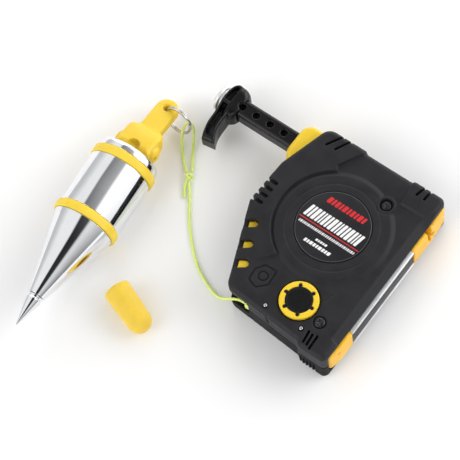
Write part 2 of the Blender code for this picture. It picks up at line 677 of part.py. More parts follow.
def make_arm():
    half = ARM_WIDTH / 2
    bar = box("arm_bar", "black_plastic", (ARM_X[0], ARM_Y - half, ARM_Z[0]),
              (ARM_X[1], ARM_Y + half, ARM_Z[1]))
    soften(bar, ARM_ROUND)
    for i in range(ARM_HOLES):
        x = ARM_HOLE_FIRST + i * ARM_HOLE_PITCH
        cut(bar, rod(f"arm_hole_{i}", None, ARM_HOLE_RADIUS, (x, ARM_Y, 0), (x, ARM_Y, CASE_HEIGHT),
                     sides=16))
    cut(bar, rod("arm_pin_seat", None, PIN_RADIUS + GAP, (PIN_START_X - 2, PIN_Y, PIN_Z),
                 (0, PIN_Y, PIN_Z), sides=16))

    handle = plate("t_handle", "black_plastic", rounded(HANDLE_CORNERS), *HANDLE_Z)
    for height in HANDLE_Z:
        round_rim(handle, height, HANDLE_ROUND)
    cut(handle, box("handle_socket", None, (ARM_X[0] - GAP, ARM_Y - half - GAP, ARM_Z[0] - GAP),
                    (-60, ARM_Y + half + GAP, ARM_Z[1] + GAP)))
    middle = sum(HANDLE_Z) / 2
    rod("strike_cap", "bright_steel", STRIKE_RADIUS - STRIKE_BEVEL, (STRIKE_X[0], ARM_Y, middle),
        (STRIKE_X[1], ARM_Y, middle), sides=32, end_radius=STRIKE_RADIUS)
    taper = PIN_TIP_X - PIN_POINT
    pin = rod("drive_pin", "bright_steel", PIN_RADIUS, (PIN_START_X, PIN_Y, PIN_Z), (taper, PIN_Y, PIN_Z),
              sides=16)
    join(pin, rod("drive_pin_point", None, PIN_RADIUS, (taper - 0.01, PIN_Y, PIN_Z),
                  (PIN_TIP_X, PIN_Y, PIN_Z), sides=16, end_radius=0.15))


# ---- reel ------------------------------------------------------------------------------
def make_reel():
    low, high = SPOOL_Z
    bore, inside = AXLE_RADIUS + GAP, DRUM_RADIUS - 1.2
    under, over = low + SPOOL_FLANGE, high - SPOOL_FLANGE
    turned("spool", "black_plastic", [
        (DRUM_RADIUS, DRUM_TOP), (DRUM_RADIUS, high), (SPOOL_RADIUS, high), (SPOOL_RADIUS, over),
        (SPOOL_HUB, over), (SPOOL_HUB, under), (SPOOL_RADIUS, under), (SPOOL_RADIUS, low),
        (bore, low), (bore, high), (inside, high), (inside, DRUM_TOP)], steps=32)
    turned("cord_pack", "cord_fibre", [
        (CORD_PACK_RADIUS, over - GAP), (CORD_PACK_RADIUS, under + GAP),
        (SPOOL_HUB + GAP, under + GAP), (SPOOL_HUB + GAP, over - GAP)], steps=32)
    rod("spool_axle", "bright_steel", AXLE_RADIUS, (0, 0, AXLE_Z[0]), (0, 0, AXLE_Z[1]))

    steps = 12 * SPRING_TURNS
    start, end = AXLE_RADIUS + 4 * GAP, inside - 0.7
    inner_side, outer_side = [], []
    for i in range(steps + 1):
        reach = start + (end - start) * i / steps
        angle = 2 * math.pi * SPRING_TURNS * i / steps
        for side, radius in ((inner_side, reach), (outer_side, reach + SPRING_THICK)):
            side.append((radius * math.cos(angle), radius * math.sin(angle)))
    plate("power_spring", "bright_steel", inner_side + outer_side[::-1], high + GAP, DRUM_TOP - 0.4)


def nub_block(name, slot, margin, bottom, top):
    """One of the short bars that cross the dial's rim, pointing along +X."""
    x, y = DIAL_SPOT
    half, reach = DIAL_NUB_HALF + margin, DIAL_NUB_REACH + margin
    nub = box(name, slot, (0.0, -half, bottom), (reach, half, top))
    nub.data.transform(Matrix.Translation((reach / 2 * MM, 0, 0)))
    nub.location.x, nub.location.y = x * MM, y * MM
    return nub


def make_dial():
    spot = DIAL_SPOT
    low, high = DIAL_Z
    seat, rise = high - DIAL_SEAT_DEPTH, high + LABEL_DROP
    bottom = seat + GAP
    ring = rod("dial_ring", "yellow_plastic", DIAL_RADIUS, (*spot, low), (*spot, high), sides=32)
    hub = rod("dial_hub", "black_plastic", DIAL_HUB_RADIUS, (*spot, bottom), (*spot, rise), sides=32)
    cut(ring, rod("dial_ring_seat", None, DIAL_HUB_RADIUS + GAP, (*spot, seat), (*spot, high + CUT),
                  sides=32),
        rod("dial_ring_bore", None, DIAL_SHAFT_RADIUS + GAP, (*spot, 0), (*spot, WELL_TOP)))
    for i in range(DIAL_NUBS):
        angle = math.radians(360 / DIAL_NUBS * i + DIAL_NUB_ANGLE)
        slot = nub_block(f"nub_slot_{i}", None, GAP, seat, high + CUT)
        slot.rotation_euler.z = angle
        cut(ring, slot)
        nub = nub_block(f"nub_{i}", None, 0.0, bottom, rise)
        nub.rotation_euler.z = angle
        join(hub, nub)
    join(hub, rod("dial_shaft", None, DIAL_SHAFT_RADIUS, (*spot, AXLE_Z[0]), (*spot, seat + CUT)))


def make_brake():
    x, y = DIAL_SPOT
    outward = Vector((x, y)).normalized()
    side = Vector((outward.y, -outward.x))
    centre = Vector((x, y)) - side * CAM_THROW
    cam = rod("dial_cam", "black_plastic", CAM_RADIUS, (*centre, CAM_Z[0]), (*centre, CAM_Z[1]), sides=32)
    cut(cam, rod("dial_cam_bore", None, DIAL_SHAFT_RADIUS + GAP, (x, y, 0), (x, y, WELL_FLOOR)))
    shoe = box("brake_shoe", "yellow_rubber", (SHOE_NEAR, -SHOE_HALF, CAM_Z[0]),
               (SHOE_FAR, SHOE_HALF, CAM_Z[1]))
    shoe.rotation_euler.z = math.atan2(y, x)
    middle = outward * (SHOE_NEAR + SHOE_FAR) / 2 * MM
    shoe.location.x, shoe.location.y = middle


# ---- bob -------------------------------------------------------------------------------
def make_frames():
    """Empties whose Z runs along the bob's axis, and along the drooping head."""
    axis = Vector((-math.sin(BOB_YAW), math.cos(BOB_YAW), 0))
    up = Vector((0, 0, 1))
    bob = bpy.data.objects.new("bob_axis", None)
    rows = Matrix((up, axis.cross(up), axis)).transposed()
    tip = Vector((*BOB_TIP, BAND_RADIUS)) * MM
    bob.matrix_world = Matrix.Translation(tip) @ rows.to_4x4()
    head = bpy.data.objects.new("head_axis", None)
    head.parent = bob
    head.location.z = PIVOT_UP * MM
    head.rotation_euler.y = -HEAD_DROOP
    for frame in (bob, head):
        PARTS.objects.link(frame)
    return bob, head


def shoulder(radius, top, round_off, steps):
    """A quarter round from the top face down to the side."""
    return arc((radius - round_off, top - round_off), round_off, math.pi / 2, 0.0, steps)


def make_bob(frame):
    root = BODY_RADIUS - BAND_SEAT
    floor = BODY_TOP - DISH_DEPTH
    profile = [(0.0, BORE_FLOOR), (BORE_RADIUS, BORE_FLOOR), (BORE_RADIUS, floor),
               (DISH_RADII[0], floor), (DISH_RADII[1], BODY_TOP)]
    profile += shoulder(BODY_RADIUS, BODY_TOP, SHOULDER_ROUND, 4)
    for low, high in (UPPER_BAND, LOWER_BAND):
        profile += [(BODY_RADIUS, high), (root, high), (root, low)]
        if low > CONE_END + BAND_SEAT:
            profile.append((BODY_RADIUS, low))
    profile += [(CONE_RADII[1], CONE_END), (CONE_RADII[0], CONE_START), (TIP_BORE_RADIUS, CONE_START),
                (TIP_BORE_RADIUS, TIP_BORE_END), (0.0, TIP_BORE_END)]
    turned("bob_body", "plated_steel", profile, steps=TURNED_SIDES, frame=frame)
    shank, neck = TIP_BORE_RADIUS - GAP, CONE_START - GAP
    turned("bob_tip", "plated_steel", [
        (0.0, TIP_BORE_END - 2.0), (shank, TIP_BORE_END - 2.0), (shank, neck), (3.9, neck),
        (3.6, TIP_CONE_LENGTH + 0.8), (TIP_CONE_RADIUS, TIP_CONE_LENGTH), (0.25, 0.4), (0.0, 0.0)],
        steps=24, frame=frame)
    for name, (low, high) in {"lower_band": LOWER_BAND, "upper_band": UPPER_BAND}.items():
        low, high, inner = low + 0.25, high - 0.25, root + GAP
        turned(name, "yellow_rubber", [
            (inner, high), (BAND_RADIUS - 0.5, high), (BAND_RADIUS, high - 0.5),
            (BAND_RADIUS, low + 0.5), (BAND_RADIUS - 0.5, low), (inner, low)],
            steps=TURNED_SIDES, frame=frame)


def make_swivel(frame):
    """The nut in the bob's throat, the stud that turns in it and the pin through the stud."""
    floor = BODY_TOP - DISH_DEPTH
    bore, rim = NUT_RADII
    foot = floor - NUT_HEIGHT
    turned("swivel_nut", "bright_steel", [(bore, floor), (rim, floor), (rim, foot), (bore, foot)],
           steps=20, frame=frame)
    top, seat = PIVOT_UP + STUD_RADIUS, foot - GAP
    stud = turned("swivel_stud", "bright_steel", [
        (0.0, top), (STUD_RADIUS, top), (STUD_RADIUS, seat), (STUD_FOOT_RADIUS, seat),
        (STUD_FOOT_RADIUS, seat - STUD_FOOT), (0.0, seat - STUD_FOOT)], steps=20, frame=frame)
    cut(stud, rod("stud_eye", None, CROSS_PIN_RADIUS + GAP, (0, -6, PIVOT_UP), (0, 6, PIVOT_UP),
                  sides=16, frame=frame))


def upright(name, slot, outline, thick, rim, frame):
    """A plate in the tab's plane: first outline axis sideways, second along the head."""
    piece = plate(name, slot, outline, -thick / 2, thick / 2, frame=frame)
    for height in (-thick / 2, thick / 2):
        round_rim(piece, height, rim)
    piece.data.transform(STAND_UP)
    return piece


def make_head(frame):
    """The plastic head: a lobed body astride the stud, and a flat tab with an eye."""
    mirrored = [(-x, z, r) for x, z, r in reversed(HEAD_CORNERS)]
    head = upright("head", "yellow_plastic", rounded(HEAD_CORNERS + mirrored, 2), HEAD_THICK,
                   HEAD_ROUND, frame)
    half = TAB_WIDTH / 2
    tab = [(half, TAB_ROOT)] + arc((0, EYE_UP), half, 0.0, math.pi, 8) + [(-half, TAB_ROOT)]
    join(head, upright("head_tab", None, tab, TAB_THICK, TAB_ROUND, frame))
    end = arc((0, STUD_SLOT_TOP), STUD_SLOT_RADIUS, 0.0, math.pi, 10)
    notch = plate("stud_slot", None, [(STUD_SLOT_RADIUS, -8.0)] + end + [(-STUD_SLOT_RADIUS, -8.0)],
                  -HEAD_THICK, HEAD_THICK, frame=frame)
    notch.data.transform(STAND_UP)
    pin_way = rod("cross_pin_way", None, CROSS_PIN_RADIUS + GAP, (0, -HEAD_THICK, 0), (0, HEAD_THICK, 0),
                  sides=16, frame=frame)
    flare = TAB_THICK / 2 + 0.2
    eye = turned("eye", None, [
        (0.0, flare), (EYE_FLARE, flare), (EYE_RADIUS, 0.8), (EYE_RADIUS, -0.8), (EYE_FLARE, -flare),
        (0.0, -flare)], steps=24, frame=frame)
    eye.rotation_euler.y = math.pi / 2
    eye.location.z = EYE_UP * MM
    cut(head, notch, pin_way, eye)
    rod("cross_pin", "bright_steel", CROSS_PIN_RADIUS, (0, -CROSS_PIN_HALF, 0), (0, CROSS_PIN_HALF, 0),
        sides=16, frame=frame)


# ---- ring, cord and cap ------------------------------------------------------------------
def make_ring(head):
    """The wire ring, which runs through the head's eye."""
    bpy.context.view_layer.update()
    eye = head.matrix_world @ Vector((0, 0, EYE_UP * MM)) / MM
    centre = eye + RING_OUT * RING_RADIUS
    wire = [centre + (RING_RISE * math.sin(a) - RING_OUT * math.cos(a)) * RING_RADIUS
            for a in (2 * math.pi * i / 24 for i in range(24))]
    tube("split_ring", "bright_steel", wire, RING_WIRE, cyclic=True)


def make_cord():
    tube("cord_run", "cord_fibre", smooth_route(CORD_RUN, ROUTE_STEP), CORD_RADIUS, resolution=1)
    tube("cord_loop", "cord_fibre", smooth_route(CORD_LOOP, ROUTE_STEP), CORD_RADIUS, resolution=1)
    bpy.ops.mesh.primitive_uv_sphere_add(segments=16, ring_count=10, radius=KNOT_RADIUS * MM)
    knot = bpy.context.object
    knot.location = [c * MM for c in KNOT_CENTRE]
    place(knot, "cord_knot", "cord_fibre")


def make_cap():
    """The loose cap that guards the tip, lying on its side."""
    frame = bpy.data.objects.new("cap_axis", None)
    wide, narrow = CAP_RADII
    axis = Vector((math.cos(CAP_YAW), math.sin(CAP_YAW), 0))
    up = Vector((0, 0, 1))
    rows = Matrix((up, axis.cross(up), axis)).transposed()
    start = Vector((CAP_OPEN_END[0], CAP_OPEN_END[1], wide)) * MM
    frame.matrix_world = Matrix.Translation(start) @ rows.to_4x4()
    PARTS.objects.link(frame)
    dome = CAP_LENGTH - narrow
    profile = [(narrow * math.cos(a), dome + narrow * math.sin(a))
               for a in (math.pi / 2 * (1 - i / 5) for i in range(6))]
    profile += [(wide, CAP_LIP), (wide - CAP_LIP, 0.0), (CAP_BORE, 0.0),
                (CAP_BORE - 0.5, CAP_DEPTH - 1.5), (0.0, CAP_DEPTH)]
    turned("tip_cap", "yellow_rubber", profile, steps=24, frame=frame)


def main():
    make_jackets()
    make_housings()
    make_base()
    make_fasteners()
    make_cord_guide()
    make_arm_guide()
    make_arm()
    make_reel()
    make_dial()
    make_brake()
    bob, head = make_frames()
    make_bob(bob)
    make_swivel(bob)
    make_head(head)
    make_ring(head)
    make_cord()
    make_cap()


main()
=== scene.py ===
"""Looks of the plumb bob, its cord, its reel case and its tip cap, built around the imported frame.

Lengths are in millimetres unless a name says otherwise; MM turns them into metres.
"""

import itertools
import json
import math

import bmesh
import bpy
import numpy as np
from mathutils import Matrix, Vector
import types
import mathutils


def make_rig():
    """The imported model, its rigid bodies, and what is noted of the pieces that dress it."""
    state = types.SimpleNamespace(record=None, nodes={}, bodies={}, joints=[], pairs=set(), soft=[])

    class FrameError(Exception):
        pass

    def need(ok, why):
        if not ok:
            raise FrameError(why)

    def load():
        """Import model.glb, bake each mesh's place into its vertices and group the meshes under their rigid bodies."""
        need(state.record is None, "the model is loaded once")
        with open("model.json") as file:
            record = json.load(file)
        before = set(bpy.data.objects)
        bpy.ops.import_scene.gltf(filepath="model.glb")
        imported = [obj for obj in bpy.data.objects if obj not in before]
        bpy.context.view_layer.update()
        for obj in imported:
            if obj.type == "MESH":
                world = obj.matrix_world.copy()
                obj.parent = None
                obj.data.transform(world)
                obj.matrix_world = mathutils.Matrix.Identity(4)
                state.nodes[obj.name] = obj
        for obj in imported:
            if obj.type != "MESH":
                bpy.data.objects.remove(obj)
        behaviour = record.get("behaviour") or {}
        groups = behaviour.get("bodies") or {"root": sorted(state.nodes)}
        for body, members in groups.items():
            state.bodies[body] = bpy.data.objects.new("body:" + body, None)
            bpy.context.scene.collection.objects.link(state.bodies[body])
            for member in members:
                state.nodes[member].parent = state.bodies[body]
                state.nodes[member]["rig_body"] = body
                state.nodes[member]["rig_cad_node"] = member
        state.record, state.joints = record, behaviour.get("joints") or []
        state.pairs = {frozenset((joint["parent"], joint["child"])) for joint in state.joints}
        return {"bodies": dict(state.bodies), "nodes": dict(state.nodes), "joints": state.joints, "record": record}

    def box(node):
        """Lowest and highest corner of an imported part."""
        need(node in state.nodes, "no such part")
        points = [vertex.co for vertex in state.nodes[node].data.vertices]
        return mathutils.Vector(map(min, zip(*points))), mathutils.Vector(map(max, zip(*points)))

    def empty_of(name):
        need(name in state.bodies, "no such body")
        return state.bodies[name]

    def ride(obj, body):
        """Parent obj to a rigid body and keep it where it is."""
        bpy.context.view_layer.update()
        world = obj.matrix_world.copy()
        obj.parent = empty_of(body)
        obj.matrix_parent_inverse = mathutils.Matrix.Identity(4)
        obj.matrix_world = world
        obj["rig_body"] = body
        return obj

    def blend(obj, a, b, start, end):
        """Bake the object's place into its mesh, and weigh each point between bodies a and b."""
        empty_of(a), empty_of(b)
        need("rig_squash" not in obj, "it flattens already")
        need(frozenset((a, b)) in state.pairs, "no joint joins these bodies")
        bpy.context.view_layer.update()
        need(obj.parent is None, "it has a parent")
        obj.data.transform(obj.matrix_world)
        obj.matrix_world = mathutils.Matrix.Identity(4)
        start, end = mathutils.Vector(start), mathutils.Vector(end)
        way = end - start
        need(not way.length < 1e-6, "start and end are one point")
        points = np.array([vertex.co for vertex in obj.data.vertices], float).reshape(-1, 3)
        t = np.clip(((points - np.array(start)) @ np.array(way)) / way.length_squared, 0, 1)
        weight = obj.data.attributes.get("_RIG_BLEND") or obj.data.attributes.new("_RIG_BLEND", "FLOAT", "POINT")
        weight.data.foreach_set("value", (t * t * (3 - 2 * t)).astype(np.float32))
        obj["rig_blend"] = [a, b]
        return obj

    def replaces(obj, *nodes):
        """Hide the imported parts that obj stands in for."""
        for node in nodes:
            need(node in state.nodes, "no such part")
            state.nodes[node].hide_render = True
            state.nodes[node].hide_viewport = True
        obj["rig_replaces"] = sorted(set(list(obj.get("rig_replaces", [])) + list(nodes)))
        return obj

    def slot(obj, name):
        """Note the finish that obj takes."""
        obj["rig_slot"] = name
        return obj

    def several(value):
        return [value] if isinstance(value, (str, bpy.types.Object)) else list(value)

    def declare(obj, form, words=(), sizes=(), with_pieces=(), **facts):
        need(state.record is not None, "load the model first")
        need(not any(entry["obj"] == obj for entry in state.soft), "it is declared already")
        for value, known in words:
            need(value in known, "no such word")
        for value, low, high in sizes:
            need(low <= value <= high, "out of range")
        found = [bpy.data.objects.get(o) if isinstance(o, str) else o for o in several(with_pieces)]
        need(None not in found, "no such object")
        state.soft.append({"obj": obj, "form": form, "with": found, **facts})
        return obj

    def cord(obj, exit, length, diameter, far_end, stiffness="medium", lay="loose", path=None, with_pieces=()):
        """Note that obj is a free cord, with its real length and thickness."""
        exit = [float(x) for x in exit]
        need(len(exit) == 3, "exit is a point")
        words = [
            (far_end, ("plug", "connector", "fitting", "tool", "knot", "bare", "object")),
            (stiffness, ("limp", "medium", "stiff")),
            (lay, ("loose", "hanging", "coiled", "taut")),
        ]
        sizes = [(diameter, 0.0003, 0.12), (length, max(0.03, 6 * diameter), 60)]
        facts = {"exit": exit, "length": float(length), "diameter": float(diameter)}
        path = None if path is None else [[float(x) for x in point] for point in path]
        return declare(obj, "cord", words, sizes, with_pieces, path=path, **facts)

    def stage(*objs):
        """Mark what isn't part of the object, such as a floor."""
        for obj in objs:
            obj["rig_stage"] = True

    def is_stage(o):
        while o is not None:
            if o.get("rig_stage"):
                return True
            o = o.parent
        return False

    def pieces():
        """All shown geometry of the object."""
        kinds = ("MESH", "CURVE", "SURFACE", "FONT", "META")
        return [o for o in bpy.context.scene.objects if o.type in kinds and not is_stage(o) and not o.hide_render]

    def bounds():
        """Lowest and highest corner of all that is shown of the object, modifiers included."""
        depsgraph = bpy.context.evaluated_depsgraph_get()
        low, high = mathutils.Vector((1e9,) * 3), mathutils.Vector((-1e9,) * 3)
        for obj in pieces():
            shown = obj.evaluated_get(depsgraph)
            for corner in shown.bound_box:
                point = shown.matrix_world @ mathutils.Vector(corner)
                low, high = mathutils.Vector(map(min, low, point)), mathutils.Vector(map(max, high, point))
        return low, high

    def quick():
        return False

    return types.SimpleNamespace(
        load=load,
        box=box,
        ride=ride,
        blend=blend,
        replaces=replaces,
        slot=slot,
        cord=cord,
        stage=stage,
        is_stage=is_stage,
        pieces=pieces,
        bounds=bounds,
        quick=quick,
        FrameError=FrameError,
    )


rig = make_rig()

MM = 0.001
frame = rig.load()
cad_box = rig.bounds()

# ---- camera ----------------------------------------------------------------------------
CAMERA_AZIMUTH = -42.18       # degrees, from +X towards +Y, of the camera as seen from the aim
CAMERA_ELEVATION = 65.0
CAMERA_ROLL = -12.0
CAMERA_DISTANCE = 1018.5
CAMERA_AIM = (-47.6, -21.25, 0.0)
CAMERA_VIEW = 12.51           # degrees across the square picture


def point_camera():
    azimuth, elevation = math.radians(CAMERA_AZIMUTH), math.radians(CAMERA_ELEVATION)
    back = Vector((math.cos(azimuth) * math.cos(elevation), math.sin(azimuth) * math.cos(elevation),
                   math.sin(elevation)))
    level = Vector((-math.sin(azimuth), math.cos(azimuth), 0.0))
    right = Matrix.Rotation(math.radians(CAMERA_ROLL), 3, back) @ level
    turn = Matrix((right, back.cross(right), back)).transposed().to_4x4()
    data = bpy.data.cameras.new("camera")
    data.lens_unit = 'FOV'
    data.angle = math.radians(CAMERA_VIEW)
    data.clip_end = 20.0
    camera = bpy.data.objects.new("camera", data)
    camera.matrix_world = Matrix.Translation((Vector(CAMERA_AIM) + back * CAMERA_DISTANCE) * MM) @ turn
    bpy.context.scene.collection.objects.link(camera)
    bpy.context.scene.camera = camera


point_camera()


# ---- general tools ---------------------------------------------------------------------
def add(name, mesh, body, slot, look, replaces=(), sharp=None):
    """A finished mesh as a piece: which body it moves with, its slot and what it stands for."""
    mesh.name = name
    piece = bpy.data.objects.new(name, mesh)
    bpy.context.scene.collection.objects.link(piece)
    mesh.materials.append(look)
    mesh.shade_smooth()
    if sharp is not None:
        mesh.set_sharp_from_angle(angle=math.radians(sharp))
    if body is not None:
        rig.ride(piece, body)
    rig.slot(piece, slot)
    if replaces:
        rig.replaces(piece, *replaces)
    return piece


def mesh_from(verts, faces):
    """A mesh from points in millimetres."""
    mesh = bpy.data.meshes.new("mesh")
    mesh.from_pydata([tuple(c * MM for c in v) for v in verts], [], faces)
    mesh.validate()
    return mesh


def standing_at(x, y):
    """A place on the ground plane."""
    return Matrix.Translation((x * MM, y * MM, 0))


def route_length(route):
    return sum((q - p).length for p, q in zip(route, route[1:]))


def smooth_route(points, step):
    """Points every step along a smooth curve through the given points."""
    knots = [Vector(p) for p in points]
    ends = [2 * knots[0] - knots[1]] + knots + [2 * knots[-1] - knots[-2]]
    fine = []
    for a, b, c, d in zip(ends, ends[1:], ends[2:], ends[3:]):
        for t in (i / 24 for i in range(24)):
            fine.append(0.5 * ((2 * b) + (c - a) * t + (2 * a - 5 * b + 4 * c - d) * t * t
                               + (3 * b - a - 3 * c + d) * t ** 3))
    fine.append(knots[-1])
    length = route_length(fine)
    count = max(2, round(length / step))
    route, walked, target = [fine[0]], 0.0, length / count
    for p, q in zip(fine, fine[1:]):
        reach = (q - p).length
        while walked + reach >= target and len(route) < count:
            route.append(p.lerp(q, (target - walked) / reach))
            target += length / count
        walked += reach
    return route + [fine[-1]]


def skin(rings, sides, first=0, closed=False):
    """Faces round a tube of rings of points, numbered from first on, with ends unless it is closed."""
    faces = []
    for i in range(rings if closed else rings - 1):
        a, b = first + i * sides, first + (i + 1) % rings * sides
        for k in range(sides):
            n = (k + 1) % sides
            faces.append((a + k, a + n, b + n, b + k))
    if not closed:
        last = first + (rings - 1) * sides
        faces.append(tuple(first + k for k in range(sides))[::-1])
        faces.append(tuple(last + k for k in range(sides)))
    return faces


def sweep(route, section, closed=False):
    """Verts and faces of a skin around a route. section(i, turn) gives a radius in millimetres."""
    sides, count = 16, len(route)
    verts, normal = [], None
    for i, point in enumerate(route):
        ahead = route[(i + 1) % count] if closed else route[min(i + 1, count - 1)]
        back = route[i - 1] if closed else route[max(i - 1, 0)]
        along = (ahead - back).normalized()
        if normal is None:
            normal = along.orthogonal().normalized()
        normal = (normal - along * normal.dot(along)).normalized()
        side = along.cross(normal)
        for turn in (2 * math.pi * k / sides for k in range(sides)):
            verts.append(point + (normal * math.cos(turn) + side * math.sin(turn)) * section(i, turn))
    return verts, skin(count, sides, closed=closed)


# ---- fields: signed distances on a grid, meshed where they are zero ------------------------
def meet(a, b, r=0.0):
    """What two fields share, with the edge between them rounded to radius r."""
    return (np.minimum(np.maximum(a + r, b + r), 0) - r
            + np.hypot(np.maximum(a + r, 0), np.maximum(b + r, 0)))


def blend_in(a, b, r=0.0):
    """Both fields together, with the corner between them filled to radius r."""
    return -meet(-a, -b, r)


def carve(a, tool, r=0.0):
    return meet(a, -tool, r)


def ramp(value, start, end):
    """0 before start, 1 after end, and a soft step between."""
    t = np.clip((value - start) / (end - start), 0, 1)
    return t * t * (3 - 2 * t)


def polygon(x, y, outline):
    """Signed distance to a closed outline."""
    best, inside = np.inf, np.zeros(np.broadcast(x, y).shape, bool)
    for (ax, ay), (bx, by) in zip(outline, outline[1:] + outline[:1]):
        ex, ey = bx - ax, by - ay
        wx, wy = x - ax, y - ay
        t = np.clip((wx * ex + wy * ey) / (ex * ex + ey * ey), 0, 1)
        best = np.minimum(best, np.hypot(wx - ex * t, wy - ey * t))
        crosses = (ay > y) != (by > y)
        if ay != by:
            inside ^= crosses & (x < ax + (y - ay) * ex / (by - ay))
    return np.where(inside, -best, best)


def slab(u, half_u, v, half_v, r=0.0):
    """Signed distance to a rectangle centred on zero with rounded corners."""
    return meet(np.abs(u) - half_u, np.abs(v) - half_v, r)


def bar(x, y, start, end, width):
    """Signed distance to a straight bar whose round ends just reach start and end."""
    (ax, ay), (bx, by) = start, end
    length = math.hypot(bx - ax, by - ay)
    ux, uy = (bx - ax) / length, (by - ay) / length
    along = (x - ax) * ux + (y - ay) * uy - length / 2
    across = (x - ax) * uy - (y - ay) * ux
    return slab(along, length / 2, across, width / 2, width / 2)


def disc(x, y, centre, radius):
    """Signed distance to a circle."""
    return np.hypot(x - centre[0], y - centre[1]) - radius


def span(value, limits, margin=0.0):
    """Signed distance to the stretch between two limits, widened by a margin."""
    low, high = limits
    return np.abs(value - (low + high) / 2) - (high - low) / 2 - margin


def arc(radius, first, last, steps):
    """Points along an arc about the origin."""
    angles = [first + (last - first) * i / steps for i in range(steps + 1)]
    return [(radius * math.cos(a), radius * math.sin(a)) for a in angles]


def corner_arc(before, here, after, radius, steps):
    """Points along the arc that rounds the corner at here."""
    here = Vector(here)
    back, ahead = (Vector(before) - here).normalized(), (Vector(after) - here).normalized()
    half = back.angle(ahead) / 2
    centre = here + (back + ahead).normalized() * (radius / math.sin(half))
    start = here + back * (radius / math.tan(half)) - centre
    end = here + ahead * (radius / math.tan(half)) - centre
    turn = start.angle_signed(end)
    return [tuple(centre + Matrix.Rotation(-turn * k / steps, 2) @ start) for k in range(steps + 1)]


def rounded(corners, steps=6):
    """A closed outline whose corners (x, y, radius) are replaced by arcs."""
    outline = []
    for before, (x, y, radius), after in zip(corners[-1:] + corners[:-1], corners, corners[1:] + corners[:1]):
        outline += corner_arc(before[:2], (x, y), after[:2], radius, steps)
    return outline


def round_profile(corners, steps=4):
    """A profile (radius, height, rounding) with its corners rounded; ends stay as they are."""
    profile = [corners[0][:2]]
    for before, (x, y, radius), after in zip(corners, corners[1:], corners[2:]):
        profile += corner_arc(before[:2], (x, y), after[:2], radius, steps) if radius else [(x, y)]
    return profile + [corners[-1][:2]]


def sculpt(field, low, high, step, keep):
    """Mesh the zero surface of field(x, y, z), with one point in each cell that it crosses.

    keep is the share of its triangles that the mesh is thinned to.
    """
    axes = [np.arange(a - step, b + 2 * step, step) for a, b in zip(low, high)]
    x, y, z = np.meshgrid(*axes, indexing="ij", sparse=True)
    value = np.broadcast_to(field(x, y, z), [len(a) for a in axes]).astype(np.float32)
    inside = value < 0
    cells = [n - 1 for n in value.shape]
    total = np.zeros((*cells, 3), np.float32)
    count = np.zeros(cells, np.float32)
    for axis in range(3):
        for shift in itertools.product((0, 1), repeat=2):
            offset = list(shift)
            offset.insert(axis, 0)
            near = tuple(slice(o, o + n) for o, n in zip(offset, cells))
            other = [o + (k == axis) for k, o in enumerate(offset)]
            far = tuple(slice(o, o + n) for o, n in zip(other, cells))
            crossed = inside[near] != inside[far]
            a, b = value[near][crossed], value[far][crossed]
            spot = np.tile(np.array(offset, np.float32), (len(a), 1))
            spot[:, axis] = a / (a - b)
            total[crossed] += spot
            count[crossed] += 1
    used = count > 0
    index = np.full(cells, -1, np.int64)
    index[used] = np.arange(used.sum())
    verts = (np.argwhere(used) + total[used] / count[used][:, None]) * step
    verts += np.array([a[0] for a in axes])
    faces = []
    for axis in range(3):
        u, v = (axis + 1) % 3, (axis + 2) % 3
        near, far = [slice(1, -1)] * 3, [slice(1, -1)] * 3
        near[axis], far[axis] = slice(0, -1), slice(1, None)
        near, far = inside[tuple(near)], inside[tuple(far)]
        for crossed, order in ((near & ~far, 1), (far & ~near, -1)):
            spot = np.argwhere(crossed)
            spot[:, [u, v]] += 1
            corners = []
            for du, dv in ((1, 1), (0, 1), (0, 0), (1, 0))[::order]:
                cell = spot.copy()
                cell[:, u] -= du
                cell[:, v] -= dv
                corners.append(index[tuple(cell.T)])
            faces.append(np.stack(corners, 1))
    mesh = bpy.data.meshes.new("full")
    mesh.from_pydata((verts * MM).tolist(), [], np.concatenate(faces).tolist())
    holder = bpy.data.objects.new("full", mesh)
    bpy.context.scene.collection.objects.link(holder)
    holder.modifiers.new("thin", 'DECIMATE').ratio = keep
    bpy.context.view_layer.update()
    thinned = bpy.data.meshes.new_from_object(holder.evaluated_get(bpy.context.evaluated_depsgraph_get()))
    bpy.data.objects.remove(holder)
    return thinned


def turned(profile, steps=96, place=None):
    """A profile (radius, height) from top to bottom, turned about Z and moved to its place."""
    verts, faces, rows = [], [], []
    angles = [2 * math.pi * k / steps for k in range(steps)]
    for radius, height in profile:
        if radius == 0:
            rows.append([len(verts)] * steps)
            verts.append((0.0, 0.0, height))
        else:
            rows.append(list(range(len(verts), len(verts) + steps)))
            verts += [(radius * math.cos(a), radius * math.sin(a), height) for a in angles]
    if profile[0][0] > 0:
        rows.append(rows[0])
    for upper, lower in zip(rows, rows[1:]):
        for k in range(steps):
            n = (k + 1) % steps
            face = [upper[k], lower[k], lower[n], upper[n]]
            faces.append([v for i, v in enumerate(face) if v != face[i - 1]])
    mesh = mesh_from(verts, faces)
    if place is not None:
        mesh.transform(place)
    return mesh


# ---- materials ---------------------------------------------------------------------------
NOISE_RANGE = (0.3, 0.7)      # where nearly all the values of a noise lie


